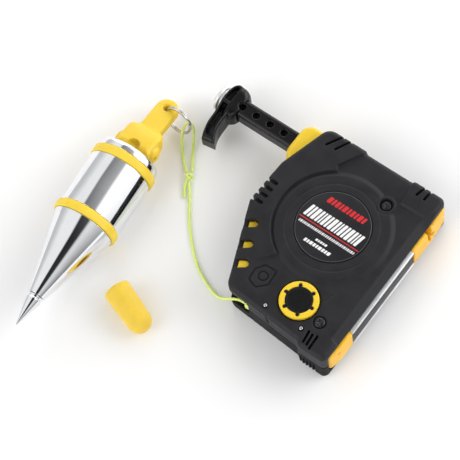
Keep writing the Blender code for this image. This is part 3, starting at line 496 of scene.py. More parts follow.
class Nodes:
    """Short spellings for building one material's node tree."""

    def __init__(self, name, colour, roughness, metallic=0.0, **sockets):
        self.material = bpy.data.materials.new(name)
        self.material.use_nodes = True
        self.tree = self.material.node_tree
        self.shader = self.tree.nodes["Principled BSDF"]
        self.set(self.shader, "Base Color", (*colour, 1.0))
        self.set(self.shader, "Roughness", roughness)
        self.set(self.shader, "Metallic", metallic)
        for socket, value in sockets.items():
            self.set(self.shader, socket.replace("_", " ").title().replace("Ior", "IOR"), value)
        self.place = self.new("TexCoord").outputs["Object"]

    def set(self, node, socket, value):
        node.inputs[socket].default_value = value

    def link(self, output, node, socket):
        self.tree.links.new(output, node.inputs[socket])

    def new(self, kind):
        return self.tree.nodes.new("ShaderNode" + kind)

    def stand_in(self, axes):
        """Lay the noises out in another frame, so that turning marks run round its axis."""
        turn = self.new("Mapping")
        location, rotation, _ = axes.inverted().decompose()
        self.set(turn, "Location", location)
        self.set(turn, "Rotation", rotation.to_euler())
        self.link(self.place, turn, "Vector")
        self.place = turn.outputs[0]

    def noise(self, size, detail=2.0, roughness=0.5, stretch=(1, 1, 1)):
        """Noise whose grains are about size millimetres across."""
        scale = self.new("Mapping")
        self.set(scale, "Scale", [s / (size * MM) for s in stretch])
        self.link(self.place, scale, "Vector")
        noise = self.new("TexNoise")
        for socket, value in (("Scale", 1.0), ("Detail", detail), ("Roughness", roughness)):
            self.set(noise, socket, value)
        self.link(scale.outputs[0], noise, "Vector")
        return noise.outputs["Fac"]

    def mottle(self, grain, low, high):
        """Colour from a noise, between two colours."""
        shades = self.new("ValToRGB")
        for element, position, colour in zip(shades.color_ramp.elements, NOISE_RANGE, (low, high)):
            element.position = position
            element.color = (*colour, 1.0)
        self.link(self.noise(*grain), shades, "Fac")
        self.link(shades.outputs[0], self.shader, "Base Color")

    def gloss(self, grain, low, high):
        """Roughness from a noise, between two values."""
        node = self.new("MapRange")
        for socket, number in zip(("From Min", "From Max", "To Min", "To Max"), (*NOISE_RANGE, low, high)):
            self.set(node, socket, number)
        self.link(self.noise(*grain), node, "Value")
        self.link(node.outputs[0], self.shader, "Roughness")

    def bumps(self, layers):
        """Relief from layers (noise, depth in millimetres), the finest last."""
        normal = None
        for grain, depth in layers:
            node = self.new("Bump")
            self.set(node, "Strength", 1.0)
            self.set(node, "Distance", depth * MM)
            self.link(self.noise(*grain), node, "Height")
            if normal is not None:
                self.link(normal, node, "Normal")
            normal = node.outputs[0]
        self.link(normal, self.shader, "Normal")


def material(name, colour, roughness, mottle, gloss, bumps, metallic=0.0, axes=None, **sockets):
    """A finished material. Every noise in it is (grain in millimetres, detail, roughness, stretch).

    mottle is a noise and its two colours, gloss a noise and its two roughnesses, and bumps are
    noises with their depths in millimetres. Other sockets of the shader are given by name.
    """
    m = Nodes(name, colour, roughness, metallic, **sockets)
    if axes is not None:
        m.stand_in(axes)
    m.mottle(*mottle)
    m.gloss(*gloss)
    m.bumps(bumps)
    return m.material


def shaded(colour, share):
    return tuple(c * share for c in colour)


def rubber(name, shade, specular):
    patches = (9.0, 4, 0.6)
    tones = [shaded(tone, shade) for tone in ((0.012, 0.012, 0.0138), (0.0185, 0.0185, 0.0216))]
    return material(name, (0.018, 0.018, 0.020), 0.5, (patches, *tones), (patches, 0.42, 0.58),
                    [((2.5, 2), 0.03), ((0.22, 3), 0.035)], specular_ior_level=specular)


def plastic(name, colour, deep):
    return material(name, colour, 0.38, ((7.0, 3, 0.6), deep, colour), ((1.4, 4, 0.7), 0.32, 0.46),
                    [((1.6, 2), 0.02), ((0.16, 2), 0.012)], subsurface_weight=0.12,
                    subsurface_scale=0.002, subsurface_radius=(1.0, 0.55, 0.08), specular_ior_level=0.5)


def steel(name, colour, roughness, stretch=(1, 1, 1)):
    return material(name, colour, roughness, ((4.0, 4, 0.6), shaded(colour, 0.82), colour),
                    ((1.2, 4, 0.65), roughness * 0.75, roughness * 1.3),
                    [((0.18, 3, 0.5, stretch), 0.006), ((2.0, 2), 0.01)], metallic=1.0)


def ink(name, colour):
    return material(name, colour, 0.45, ((0.5, 3), shaded(colour, 0.88), colour), ((0.3, 2), 0.40, 0.52),
                    [((0.1, 2), 0.004)])


# ---- frames of the bob, its head and the cap -------------------------------------------------
JOINT = {joint["name"]: joint for joint in frame["joints"]}
UP = Vector((0, 0, 1))
TIP_TO_PIVOT = 106.0
PIVOT = Vector(JOINT["weight_spin"]["pos_m"])
BOB_AXIS = Vector(JOINT["weight_spin"]["axis"])
EYE = Vector(JOINT["head_swing"]["pos_m"])


def axes_at(origin, along, upward):
    """A frame at origin with Z along a direction and X as near upward as it can be."""
    z = along.normalized()
    x = (upward - z * upward.dot(z)).normalized()
    return Matrix.Translation(origin) @ Matrix((x, z.cross(x), z)).transposed().to_4x4()


BOB = axes_at(PIVOT - BOB_AXIS * TIP_TO_PIVOT * MM, BOB_AXIS, UP)
HEAD = axes_at(PIVOT, EYE - PIVOT, UP)

RUBBER = rubber("jacket_rubber", 1.0, 0.24)
# The rear jacket has the same rubber with painted shade: its tones are cut to 0.4 and its gloss is lowered, so its
# side wall looks like the shaded lower wall.
PAINTED_SHADE_RUBBER = rubber("painted_shade_rubber", 0.4, 0.10)
YELLOW = plastic("moulded_yellow", (0.85, 0.60, 0.028), (0.82, 0.54, 0.020))
DEEP_YELLOW = plastic("deep_yellow", (0.86, 0.50, 0.022), (0.82, 0.43, 0.015))
BLACK = material(
    "arm_plastic", (0.008, 0.008, 0.009), 0.24,
    ((5.0, 4, 0.6), (0.004, 0.004, 0.0046), (0.007, 0.007, 0.008)), ((0.9, 4, 0.7), 0.19, 0.31),
    [((2.2, 2), 0.03), ((0.15, 2), 0.012)], specular_ior_level=0.28)
CORD = material(
    "cord_fibre", (0.74, 0.88, 0.20), 0.55, ((0.5, 3, 0.7), (0.66, 0.84, 0.14), (0.84, 0.95, 0.30)),
    ((0.3, 2), 0.45, 0.65), [((0.12, 3), 0.03)], subsurface_weight=0.2, subsurface_scale=0.0006,
    subsurface_radius=(0.7, 1.0, 0.2), sheen_weight=0.3)
BAND = material(
    "band_rubber", (0.86, 0.61, 0.04), 0.5, ((6.0, 4, 0.65), (0.84, 0.58, 0.032), (0.88, 0.65, 0.052)),
    ((1.1, 4, 0.7), 0.44, 0.60), [((1.8, 3), 0.03), ((0.14, 2), 0.02)], subsurface_weight=0.1,
    subsurface_scale=0.0015, subsurface_radius=(1.0, 0.6, 0.1))
CAP = material(
    "cap_rubber", (0.81, 0.55, 0.04), 0.62, ((5.0, 4, 0.65), (0.79, 0.53, 0.035), (0.83, 0.58, 0.045)),
    ((0.8, 3), 0.55, 0.70), [((1.2, 3), 0.03), ((0.18, 3), 0.04)], subsurface_weight=0.15,
    subsurface_scale=0.002, subsurface_radius=(1.0, 0.6, 0.12), sheen_weight=0.15)
CHROME = material(
    "bob_plating", (0.86, 0.87, 0.89), 0.05, ((9.0, 4, 0.6), (0.83, 0.84, 0.865), (0.89, 0.90, 0.92)),
    ((9.0, 4, 0.6), 0.035, 0.075), [((0.35, 1, 0.5, (0.004, 0.004, 1.0)), 0.0006), ((3.0, 2), 0.0015)],
    metallic=1.0, axes=BOB)
STEEL = steel("bright_steel", (0.72, 0.72, 0.74), 0.22)
SATIN_STEEL = steel("satin_steel", (0.90, 0.90, 0.91), 0.55)
NICKEL = steel("ring_nickel", (0.62, 0.61, 0.59), 0.12)
DARK_STEEL = steel("screw_black", (0.05, 0.05, 0.054), 0.30)
POLE = steel("pole_steel", (0.95, 0.95, 0.96), 0.42, (1, 0.02, 1))
MAGNET = material(
    "magnet_ferrite", (0.03, 0.032, 0.036), 0.5,
    ((2.0, 5, 0.7), (0.026, 0.028, 0.032), (0.044, 0.046, 0.052)), ((0.7, 4, 0.7), 0.40, 0.60),
    [((1.5, 3), 0.02), ((0.12, 3), 0.02)], specular_ior_level=0.3)
LABEL = material(
    "label_film", (0.014, 0.014, 0.016), 0.36, ((6.0, 3), (0.011, 0.011, 0.013), (0.016, 0.016, 0.019)),
    ((0.6, 4, 0.7), 0.30, 0.44), [((0.10, 2), 0.006), ((3.0, 2), 0.01)], specular_ior_level=0.3)
WHITE_INK = ink("ink_white", (0.86, 0.86, 0.86))
RED_INK = ink("ink_red", (0.62, 0.015, 0.02))
GREY_INK = ink("ink_grey", (0.13, 0.13, 0.135))


# ---- cord --------------------------------------------------------------------------------
CORD_RADIUS = 0.7
CORD_RUN = [                  # from the cord guide down to the ground and on to the knot
    (-15.6, -50.3, 9.2), (-18.6, -50.5, 8.9), (-21.8, -51.3, 7.6), (-25.0, -52.4, 5.4),
    (-28.2, -53.0, 3.0), (-31.6, -52.9, 1.3), (-35.4, -52.0, 0.8), (-40.0, -50.3, 0.8),
    (-45.6, -47.6, 0.8), (-51.0, -44.0, 0.8), (-56.2, -39.6, 0.8), (-61.0, -35.0, 0.8),
    (-65.4, -30.2, 0.8), (-69.4, -25.2, 0.8), (-73.2, -20.0, 0.9), (-76.6, -15.6, 1.3),
    (-78.9, -12.7, 1.9)]
CORD_LOOP = [                 # out of the knot, over the ring's far side and back
    (-81.2, -7.4, 1.9), (-83.2, -4.6, 1.2), (-86.2, -0.6, 0.8), (-88.6, 3.2, 1.4),
    (-90.6, 6.6, 3.4), (-92.1, 9.2, 5.7), (-94.2, 10.9, 7.6), (-96.4, 10.6, 8.7),
    (-97.0, 8.6, 8.6), (-96.7, 6.2, 7.3), (-95.6, 3.6, 4.8), (-93.7, 0.9, 2.2),
    (-91.0, -2.2, 0.9), (-87.4, -5.6, 0.8), (-83.4, -9.2, 1.7)]
CORD_TAIL = [(-80.6, -12.2, 1.9), (-79.9, -15.2, 1.0), (-77.9, -18.2, 0.8), (-76.2, -20.3, 0.8)]
KNOT_CENTRE = Vector((-80.6, -10.6, 2.3))
KNOT_SKIN, TAIL_SKIN = 0.66, 0.68
KNOT_SCALE = 0.55             # millimetres for each unit of the trefoil curve
PLAIT_STEP = 0.25
PLAIT_RELIEF = 0.09
PLAIT_PITCH = 2.1
PLAIT_STRANDS = 4


def plaited(radius=CORD_RADIUS):
    """Radius of a plaited cord: two sets of strands that wind opposite ways."""
    def section(i, turn):
        wind = 2 * math.pi * i * PLAIT_STEP / PLAIT_PITCH
        strands = max(math.cos(PLAIT_STRANDS * turn + wind), math.cos(PLAIT_STRANDS * turn - wind))
        return radius + PLAIT_RELIEF * (strands - 0.75)
    return section


def metres(route):
    return [tuple(c * MM for c in p) for p in route]


def make_cords():
    run = smooth_route(CORD_RUN, PLAIT_STEP)
    loop = smooth_route(CORD_LOOP, PLAIT_STEP)
    run_piece = add("cord_to_case", mesh_from(*sweep(run, plaited())), None, "cord_fibre", CORD, ["cord_run"])
    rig.blend(run_piece, "case", "ring", start=metres(CORD_RUN)[5], end=metres(CORD_RUN)[-1])
    loop_piece = add("cord_eye_loop", mesh_from(*sweep(loop, plaited())), "ring", "cord_fibre", CORD,
                     ["cord_loop"])
    knot = [KNOT_CENTRE + Vector((math.sin(t) + 2 * math.sin(2 * t), math.cos(t) - 2 * math.cos(2 * t),
                                  -1.25 * math.sin(3 * t))) * KNOT_SCALE
            for t in (2 * math.pi * i / 90 for i in range(90))]
    knot_verts, knot_faces = sweep(knot, plaited(KNOT_SKIN), closed=True)
    tail_verts, tail_faces = sweep(smooth_route(CORD_TAIL, PLAIT_STEP), plaited(TAIL_SKIN))
    shift = len(knot_verts)
    faces = knot_faces + [tuple(v + shift for v in face) for face in tail_faces]
    knot_piece = add("tied_knot", mesh_from(knot_verts + tail_verts, faces), "ring", "cord_fibre", CORD,
                     ["cord_knot"])
    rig.cord(run_piece, exit=metres(run)[0], length=round(route_length(run) * MM, 4),
            diameter=2 * CORD_RADIUS * MM, far_end="knot", stiffness="limp", lay="loose",
            path=metres(run[::4] + [run[-1]]), with_pieces=[knot_piece, "cord_guide"])
    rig.cord(loop_piece, exit=metres(loop)[0], length=round(route_length(loop) * MM, 4),
            diameter=2 * CORD_RADIUS * MM, far_end="knot", stiffness="limp", lay="loose",
            path=metres(loop[::4] + [loop[-1]]))


make_cords()

# ---- case ----------------------------------------------------------------------------------
SEAM_LOW, SEAM_HIGH = 11.85, 12.15
CASE_CORNERS = [              # x, y, corner radius, anticlockwise from the cord's corner
    (-24.0, -52.3, 6.0), (18.5, -55.2, 1.5), (21.0, -57.2, 1.5), (35.8, -57.2, 3.0),
    (35.8, 42.0, 3.2), (-32.5, 42.0, 6.0), (-40.6, 14.0, 6.0), (-41.6, -10.0, 5.0)]
WALL = 2.0
FRONT_ROUND, BACK_ROUND = 2.8, 2.4
FACE_Z = 23.4                 # the face between the raised pads
DISC_Z = 24.5
PAD_Z = 24.9
DISC_RADIUS, DISC_SLOPE = 30.0, 3.6
RIGHT_PAD_RISE = 1.1
PAD_FADE, PAD_LINE_FADE = (-44.0, -20.0), (-32.0, -24.0)      # where the left pad and its line start, in y
CREASE_RADIUS = 22.7
LEFT_PAD_ARC = (29.3, math.radians(243), math.radians(122))     # radius, and the angles of its ends
TOP_LEFT_PAD_EDGE = [(-17.0, 27.6), (-10.5, 39.0), (-9.0, 60.0), (-60.0, 60.0), (-60.0, -70.0),
                     (-26.0, -70.0), (-20.5, -34.0)]
TOP_RIGHT_PAD = [(18.6, 28.2), (60.0, 29.4), (60.0, 60.0), (17.4, 60.0), (17.2, 38.0)]
SCREW_SPOTS = [(14.0, 23.6), (22.9, -42.4)]
PIN_SPOTS = [(-2.7, -50.1), (17.7, -49.9)]
DIAL_SPOT = (8.7, -39.1)
WINDOW_TIPS = [(-30.2, -18.3), (-26.0, -28.0), (-21.9, -37.0)]
WINDOW_ANGLE = math.radians(35)
WINDOW_WIDTH = 4.2
TOOTH_ROWS = (3.0, -1.1, -5.1, -9.1)
GRIP_SLOTS = [                # start, end and width of the narrow slots in the face
    ((-28.4, 32.8), (-22.2, 43.6), 1.2), ((-23.3, 33.1), (-17.9, 43.6), 1.2),
    ((22.4, 35.4), (24.6, 43.8), 1.2), ((26.9, 35.4), (27.5, 43.8), 1.2),
    ((21.3, -48.2), (22.2, -55.0), 1.15), ((23.6, -48.6), (24.3, -55.2), 1.15),
    ((26.0, -48.0), (26.4, -55.9), 1.15)]
SLOT_FLOOR = 20.7
SLOT_BED = 19.6               # underside of the solid rubber left below the slots
SLOT_BED_WIDER = 2.2
CAVITY_TOP = 21.2             # roof of the room inside the front jacket
CHAMFER_X, CHAMFER_TILT, CHAMFER_SHARE = 32.1, 1.12, 0.67
END_DIP_X, END_DIP_Y = (-9.5, 17.5), (41.3, 44.7)
WINDOW_SILL, TOOTH_ROOT = 17.0, 18.5
TOOTH_GAP = 1.9
TOOTH_INNER_FRONT, TOOTH_INNER_BACK = -34.6, -36.6  # x that the gaps reach in each jacket
SCREW_BOSS = 4.9
MOUTH_X, MOUTH_RIM_Y, MOUTH_ROOF = (-32.0, -11.4), -48.0, 12.5
MOUTH_FLOOR, MOUTH_FLOOR_RISE = 3.0, 4.9            # the floor climbs from MOUTH_FLOOR_X towards +X
MOUTH_FLOOR_X = -27.0
TAG_OUTLINE = [(-17.4, -38.2), (-14.6, -33.9), (-9.2, -33.5), (-8.6, -40.8), (-12.4, -44.6), (-16.8, -43.2)]
TAG_RING = ((-12.6, -38.6), 2.3)
TAG_DEPTH = 0.8
FACET = [(12.0, -29.8), (20.6, -27.2), (17.4, -35.6)]
FACET_DEPTH = 0.35
WELLS = [                     # round openings of the front: centre, radius, floor and edge rounding
    *[(spot, 3.25, 20.0, 0.35) for spot in SCREW_SPOTS], *[(spot, 1.15, 10.0, 0.2) for spot in PIN_SPOTS],
    (DIAL_SPOT, 10.2, 20.0, 0.4), ((0, 0), 18.55, 23.8, 0.2)]
BACK_RIBS = [21.6 + 1.9 * k for k in range(5)]
BACK_RIB_WIDTH = 0.95
BACK_GROOVE_PITCH, BACK_GROOVE_REACH = 6.0, 15.0
BACK_PANEL_RISE = 0.5
COLLAR_CORNERS = [(-29.6, 17.8, 0.8), (-29.6, 40.4, 0.8), (-44.6, 40.4, 5.5), (-44.6, 22.5, 9.0),
                  (-41.0, 17.8, 3.0)]
COLLAR_Z = (4.6, 19.4)
BASE_Y, BASE_Z, BASE_X = (-53.6, 40.4), (5.0, 19.0), (31.0, 37.4)
GAP = 0.3
HOUSING_FIT, HOUSING_SIDE = 0.15, 30.3              # clearance in the jacket, and its side at +X
HOUSING_FOOT, HOUSING_ROOF, ISLAND_TOP = 12.1, 19.2, 22.0


def pressed(off, width, depth):
    """How deep a soft line along off = 0 is pressed in."""
    return depth * np.exp(-(off / width) ** 2)


def relief(x, y):
    """Height of the front face: the disc, the raised pads and the screw boss."""
    reach = np.hypot(x, y)
    left_pad = polygon(x, y, TOP_LEFT_PAD_EDGE + arc(*LEFT_PAD_ARC, 40))
    height = FACE_Z + (DISC_Z - FACE_Z) * ramp(DISC_RADIUS - reach, 0.0, DISC_SLOPE)
    height = height - pressed(reach - CREASE_RADIUS, 0.45, 0.30) - pressed(reach - DISC_RADIUS, 0.45, 0.90)
    boss = disc(x, y, SCREW_SPOTS[0], SCREW_BOSS)
    height = np.maximum(height, FACE_Z + (DISC_Z - FACE_Z) * ramp(-boss, -0.3, 0.6))
    height = height - pressed(boss, 0.35, 0.30)
    height = height - pressed(left_pad - 0.35, 0.30, 0.55) * ramp(y, *PAD_LINE_FADE)
    fade = ramp(y, *PAD_FADE)
    height = np.maximum(height, FACE_Z + (PAD_Z - FACE_Z) * ramp(-left_pad, -0.25, 0.35) * fade)
    right_pad = polygon(x, y, TOP_RIGHT_PAD)
    return np.maximum(height, FACE_Z + RIGHT_PAD_RISE * ramp(-right_pad, -0.8, 0.9))


def window(x, y, tip):
    """Signed distance to one D-shaped slot that opens through the slanted edge."""
    c, s = math.cos(WINDOW_ANGLE), math.sin(WINDOW_ANGLE)
    along = (x - tip[0]) * c + (y - tip[1]) * s
    across = (y - tip[1]) * c - (x - tip[0]) * s
    half = WINDOW_WIDTH / 2
    return np.where(along > -half, np.hypot(along + half, across), np.abs(across)) - half


def mouth(x, y, z):
    """The pocket in the lower corner that the cord comes out of."""
    roof = MOUTH_ROOF + 1.15 * np.maximum(MOUTH_RIM_Y - y, 0)
    sill = MOUTH_FLOOR + np.clip(0.6 * (x - MOUTH_FLOOR_X), 0.0, MOUTH_FLOOR_RISE)
    height = np.maximum(sill - z, (z - roof) * 0.66)
    return meet(meet(span(x, MOUTH_X), height, 1.2), y - MOUTH_RIM_Y, 0.8)


def openings(body, x, y, z):
    """Cut the cord's mouth and the room for the arm's collar and the base block."""
    body = carve(body, mouth(x, y, z), 0.4)
    collar = polygon(x, y, rounded(COLLAR_CORNERS)) - GAP
    body = carve(body, meet(collar, span(z, COLLAR_Z, GAP)), 0.3)
    strip = meet(span(y, BASE_Y, GAP), span(z, BASE_Z, GAP), 1.2)
    return carve(body, meet(strip, BASE_X[0] - GAP - x), 0.3)


def slot_beds(x, y, z):
    """The solid rubber round the narrow slots, which the room inside leaves alone."""
    near = np.inf
    for start, end, width in GRIP_SLOTS:
        near = np.minimum(near, bar(x, y, start, end, width + SLOT_BED_WIDER))
    return meet(near, SLOT_BED - z)


def case_plan(x, y):
    """The case seen from the front, with the shallow dip in its far end."""
    dip = meet(span(x, END_DIP_X), span(y, END_DIP_Y), 1.0)
    return carve(polygon(x, y, rounded(CASE_CORNERS)), dip, 1.0)


def tooth_gap(x, y, row, inner):
    """The gap below one tooth of the far edge, reaching in to x = inner."""
    return bar(x, y, (-48.0, row + 0.5), (inner, row), TOOTH_GAP)


def case_front_field(x, y, z):
    flat = case_plan(x, y)
    body = meet(flat, z - relief(x, y), FRONT_ROUND)
    body = meet(body, SEAM_HIGH - z, 0.3)
    slant = (x - CHAMFER_X + (z - FACE_Z) * CHAMFER_TILT) * CHAMFER_SHARE
    chamfer = slant - 8 * (1 - ramp(y, -50.0, -45.5)) - 4 * ramp(y, 24.0, 41.0)
    body = meet(body, chamfer, 0.6)
    sill = WINDOW_SILL + 4.5 * (1 - ramp(-flat, WALL + 0.2, WALL + 0.9))
    for tip in WINDOW_TIPS:
        body = carve(body, meet(window(x, y, tip), sill - z), 0.45)
    root = TOOTH_ROOT + 4.0 * ramp(-flat, WALL - 0.9, WALL - 0.2)
    for row in TOOTH_ROWS:
        body = carve(body, meet(tooth_gap(x, y, row, TOOTH_INNER_FRONT), root - z), 0.3)
    for start, end, width in GRIP_SLOTS:
        body = carve(body, meet(bar(x, y, start, end, width), SLOT_FLOOR - z), 0.2)
    tag = polygon(x, y, TAG_OUTLINE)
    for line, half in ((tag - 0.5, 0.4), (disc(x, y, *TAG_RING), 0.36)):
        body = carve(body, meet(np.abs(line) - half, FACE_Z - TAG_DEPTH - z), 0.15)
    body = carve(body, meet(polygon(x, y, FACET), FACE_Z - FACET_DEPTH - z, 0.2), 0.3)
    for spot, radius, floor, edge in WELLS:
        body = carve(body, meet(disc(x, y, spot, radius), floor - z), edge)
    body = carve(body, meet(bar(x, y, (0.6, -60.0), (0.6, -53.2), 1.5), 15.0 - z), 0.3)
    room = meet(meet(flat + WALL, z - CAVITY_TOP, 0.6), chamfer + 1.3)
    body = carve(body, carve(room, slot_beds(x, y, z)))
    return openings(body, x, y, z)


def case_back_field(x, y, z):
    flat = case_plan(x, y)
    panel = BACK_PANEL_RISE * ramp(-flat, 9.0, 10.0)
    body = meet(flat, panel - z, BACK_ROUND)
    body = meet(body, z - SEAM_LOW, 0.3)
    for row in TOOTH_ROWS:
        body = carve(body, meet(tooth_gap(x, y, row, TOOTH_INNER_BACK), np.abs(z - 6.0) - 3.4, 0.5), 0.4)
    for side in BACK_RIBS:
        rib = bar(x, y, (side, -60.0), (side, -55.9), BACK_RIB_WIDTH)
        body = carve(body, meet(rib, np.abs(z - 3.6) - 6.0, 0.3), 0.2)
    for k in range(-3, 4):
        line = slab(x, BACK_GROOVE_REACH - abs(k), y - BACK_GROOVE_PITCH * k, 0.8, 0.8)
        body = carve(body, meet(line, z - panel - 0.6), 0.2)
    body = carve(body, meet(flat + WALL, WALL - z, 0.6))
    return openings(body, x, y, z)


def housing_field(x, y, z):
    """The moulding behind the front jacket, raised where the windows show it."""
    flat = polygon(x, y, rounded(CASE_CORNERS))
    flat = np.maximum(flat + WALL + HOUSING_FIT, x - HOUSING_SIDE)
    body = meet(flat, z - CAVITY_TOP + HOUSING_FIT, 0.8)
    for tip in WINDOW_TIPS:
        body = np.minimum(body, meet(meet(window(x, y, tip) + 0.1, z - ISLAND_TOP, 0.3), flat + 0.5))
    body = meet(body, HOUSING_FOOT - z)
    body = carve(body, meet(flat + WALL, z - HOUSING_ROOF))
    for spot in SCREW_SPOTS + PIN_SPOTS:
        body = carve(body, disc(x, y, spot, 1.6))
    body = carve(body, disc(x, y, DIAL_SPOT, 3.0))
    body = carve(body, mouth(x, y, z) - 0.5)
    body = carve(body, slot_beds(x, y, z) - 0.2)
    return carve(body, polygon(x, y, rounded(COLLAR_CORNERS)) - 1.0)


def make_jackets():
    for name, field, low, high, slot, look, node in (
            ("case_front", case_front_field, (-42.5, -58.0, 11.0), (36.5, 43.0, 25.5),
             "jacket_rubber", RUBBER, "front_jacket"),
            # the rear jacket wears the rubber with painted shade, darker than the front jacket
            ("case_back", case_back_field, (-42.5, -58.0, -0.5), (36.5, 43.0, 12.5),
             "jacket_rubber", PAINTED_SHADE_RUBBER, "rear_jacket"),
            ("front_moulding", housing_field, (-41.0, -56.0, 11.5), (31.0, 41.5, 23.2),
             "housing_plastic", YELLOW, "front_housing")):
        add(name, sculpt(field, low, high, CASE_STEP, 0.4), "case", slot, look, [node])


def make_well_floors():
    """Thin rubber floors in the wells of the dial and the screws: hole, rim and top."""
    floors = {"dial_well_floor": (DIAL_SPOT, 2.9, 10.35, 22.0)}
    for i, spot in enumerate(SCREW_SPOTS, start=1):
        floors[f"screw_well_floor_{i}"] = (spot, 1.5, 3.5, 22.5)
    for name, (spot, hole, rim, top) in floors.items():
        profile = [(hole, top), (rim, top), (rim, top - 0.2), (hole, top - 0.2)]
        add(name, turned(profile, 64, standing_at(*spot)), "case", "jacket_rubber", RUBBER, sharp=30)


CASE_STEP = 0.5 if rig.quick() else 0.32
make_jackets()
make_well_floors()


# ---- base strip, magnet, arm -----------------------------------------------------------------
MAGNET_Y = (-36.7, 12.7)
FLANGE_X, FLANGE_Z = (31.0, 33.5), (2.5, 19.9)
MAGNET_BED = 33.8             # x of the floor under the magnet and its pole plates
BASE_NOTCH_Y = 25.8
BASE_HOLE = (-47.5, 15.0)
PIN_Y, PIN_Z = 28.0, 12.0


def base_field(x, y, z):
    (x0, x1), (y0, y1) = BASE_X, BASE_Y
    strip = meet(span(y, BASE_Y), span(z, BASE_Z), 2.0)
    bow = np.maximum(y - 22.0, 0) ** 2 / 280 + np.maximum(-44.0 - y, 0) ** 2 / 60
    strip = meet(meet(strip, x - x1 + bow, 1.4), x0 - x)
    flange = meet(span(y, (y0 + 1.2, y1 - 3.6)), span(z, FLANGE_Z), 0.6)
    body = blend_in(strip, meet(flange, span(x, FLANGE_X)), 0.4)
    body = carve(body, meet(span(y, MAGNET_Y, GAP), MAGNET_BED - x), 0.25)
    notch = meet(np.abs(y - BASE_NOTCH_Y) - 1.9 - 0.12 * (z - 19.0), 33.6 - x)
    body = carve(body, meet(notch, 8.0 - z), 0.3)
    body = carve(body, meet(disc(y, z, (PIN_Y, PIN_Z), 1.6), 30.0 - x))
    return carve(body, meet(disc(y, z, BASE_HOLE, 1.0), 35.0 - x), 0.2)


def eased_block(name, node, body, slot, look, edge):
    """A packed box node redrawn with softened edges."""
    low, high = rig.box(node)
    shape = bmesh.new()
    bmesh.ops.create_cube(shape, size=1.0)
    bmesh.ops.transform(shape, matrix=Matrix.Translation((low + high) / 2)
                        @ Matrix.Diagonal((*(high - low), 1.0)), verts=shape.verts)
    bmesh.ops.bevel(shape, geom=shape.edges, offset=edge * MM, segments=3, affect='EDGES', profile=0.5)
    mesh = bpy.data.meshes.new(name)
    shape.to_mesh(mesh)
    shape.free()
    add(name, mesh, body, slot, look, [node], sharp=40)


ARM_MIDDLE = 30.0             # y of its long axis
ARM_X, ARM_Y, ARM_Z = (-84.0, -18.0), (25.2, 34.8), (7.4, 16.6)
ARM_HOLES = [-76.6 + 8.4 * i for i in range(5)]
ARM_HOLE_RADIUS = 1.75
PIT_SPOT = (-84.0, 23.6)
HANDLE_LEFT = [               # plan of the T-handle's outer edge, from its foot to its crown
    (-83.4, 5.1), (-84.6, 8.2), (-85.4, 11.8), (-85.9, 15.2), (-86.1, 19.0), (-86.6, 23.0),
    (-87.3, 26.6), (-87.6, 30.4), (-87.2, 34.2), (-86.1, 37.2)]
HANDLE_RIGHT = [              # and of its inner edge, back down to the foot
    (-84.0, 38.8), (-82.0, 38.0), (-81.2, 34.5), (-81.1, 30.0), (-81.0, 26.0), (-80.0, 21.0),
    (-79.8, 17.0), (-79.3, 12.8), (-77.9, 9.2), (-76.2, 6.3)]
HANDLE_Z = (5.4, 18.6)
HANDLE_FOOT_HALF = 4.2        # half thickness at the foot's end
RIM, RIM_DEPTH = 1.35, 3.4    # width and height of the rims round the recesses
CROSS_RIB = (26.6, 28.4)
NECK_X = (-82.4, -76.4)
NECK_WIDE, NECK_SLIM = (9.5, 6.6), (5.5, 5.2)       # half width and half height at its two ends


def arm_field(x, y, z):
    body = meet(span(y, ARM_Y), span(z, ARM_Z), 2.1)
    body = meet(body, span(x, ARM_X), 0.6)
    depth = np.abs(z - sum(ARM_Z) / 2)
    for hole in ARM_HOLES:
        body = carve(body, meet(disc(x, y, (hole, ARM_MIDDLE), ARM_HOLE_RADIUS), 1.0 - depth), 0.45)
    return carve(body, meet(disc(y, z, (PIN_Y, PIN_Z), 1.4), -30.0 - x))


def handle_field(x, y, z):
    """A curved grip with recessed faces between its rims, and a flared neck round the bar."""
    low, high = HANDLE_Z
    deep, half = np.abs(z - (low + high) / 2), (high - low) / 2
    edge = smooth_route([(*p, 0) for p in HANDLE_LEFT + HANDLE_RIGHT], 0.9)
    flat = polygon(x, y, [(p.x, p.y) for p in edge])
    reach = HANDLE_FOOT_HALF + (half - HANDLE_FOOT_HALF) * ramp(y, 4.5, 14.0)
    body = meet(flat, deep - reach, 1.6)
    up, down = CROSS_RIB
    for channel in (meet(flat + RIM, down - y, 0.9), meet(flat + RIM, meet(y - up, 8.3 - y), 0.9)):
        body = carve(body, meet(channel, reach - RIM_DEPTH - deep, 0.3), 0.45)
    body = carve(body, meet(disc(x, y, PIT_SPOT, 1.5), reach - RIM_DEPTH - 1.8 - deep), 0.2)
    start, end = NECK_X
    swell = np.sqrt(1 - np.clip((x - start) / (end - start), 0, 1) ** 2)
    wide, tall = [slim + (full - slim) * swell for full, slim in zip(NECK_WIDE, NECK_SLIM)]
    neck = slab(y - ARM_MIDDLE, wide, deep, tall, 4.6)
    body = blend_in(body, meet(neck * 0.7, span(x, NECK_X), 0.7), 1.0)
    body = carve(body, disc(x, y, (ARM_HOLES[0], ARM_MIDDLE), ARM_HOLE_RADIUS), 0.5)
    socket = meet(span(y, ARM_Y, GAP), span(z, ARM_Z, GAP), 2.0)
    return carve(body, meet(socket, ARM_X[0] - GAP - x), 0.2)


def collar_field(x, y, z):
    body = meet(polygon(x, y, rounded(COLLAR_CORNERS, 8)), span(z, COLLAR_Z), 2.4)
    return carve(body, meet(span(y, ARM_Y, GAP), span(z, ARM_Z, GAP), 2.2), 0.6)


def strike_profile():
    """Domed steel cap: its crown, rolled edge and flat back, from top to bottom."""
    radius, crown, stem = 6.6, 2.3, 5.2
    angles = [math.pi / 2 * i / 10 for i in range(11)]
    dome = [(radius * math.sin(a), 0.8 + crown * math.cos(a)) for a in angles]
    return dome + [(radius, 0.2), (radius - 0.4, -0.2), (stem, -0.3), (stem, -1.6), (0.0, -1.6)]


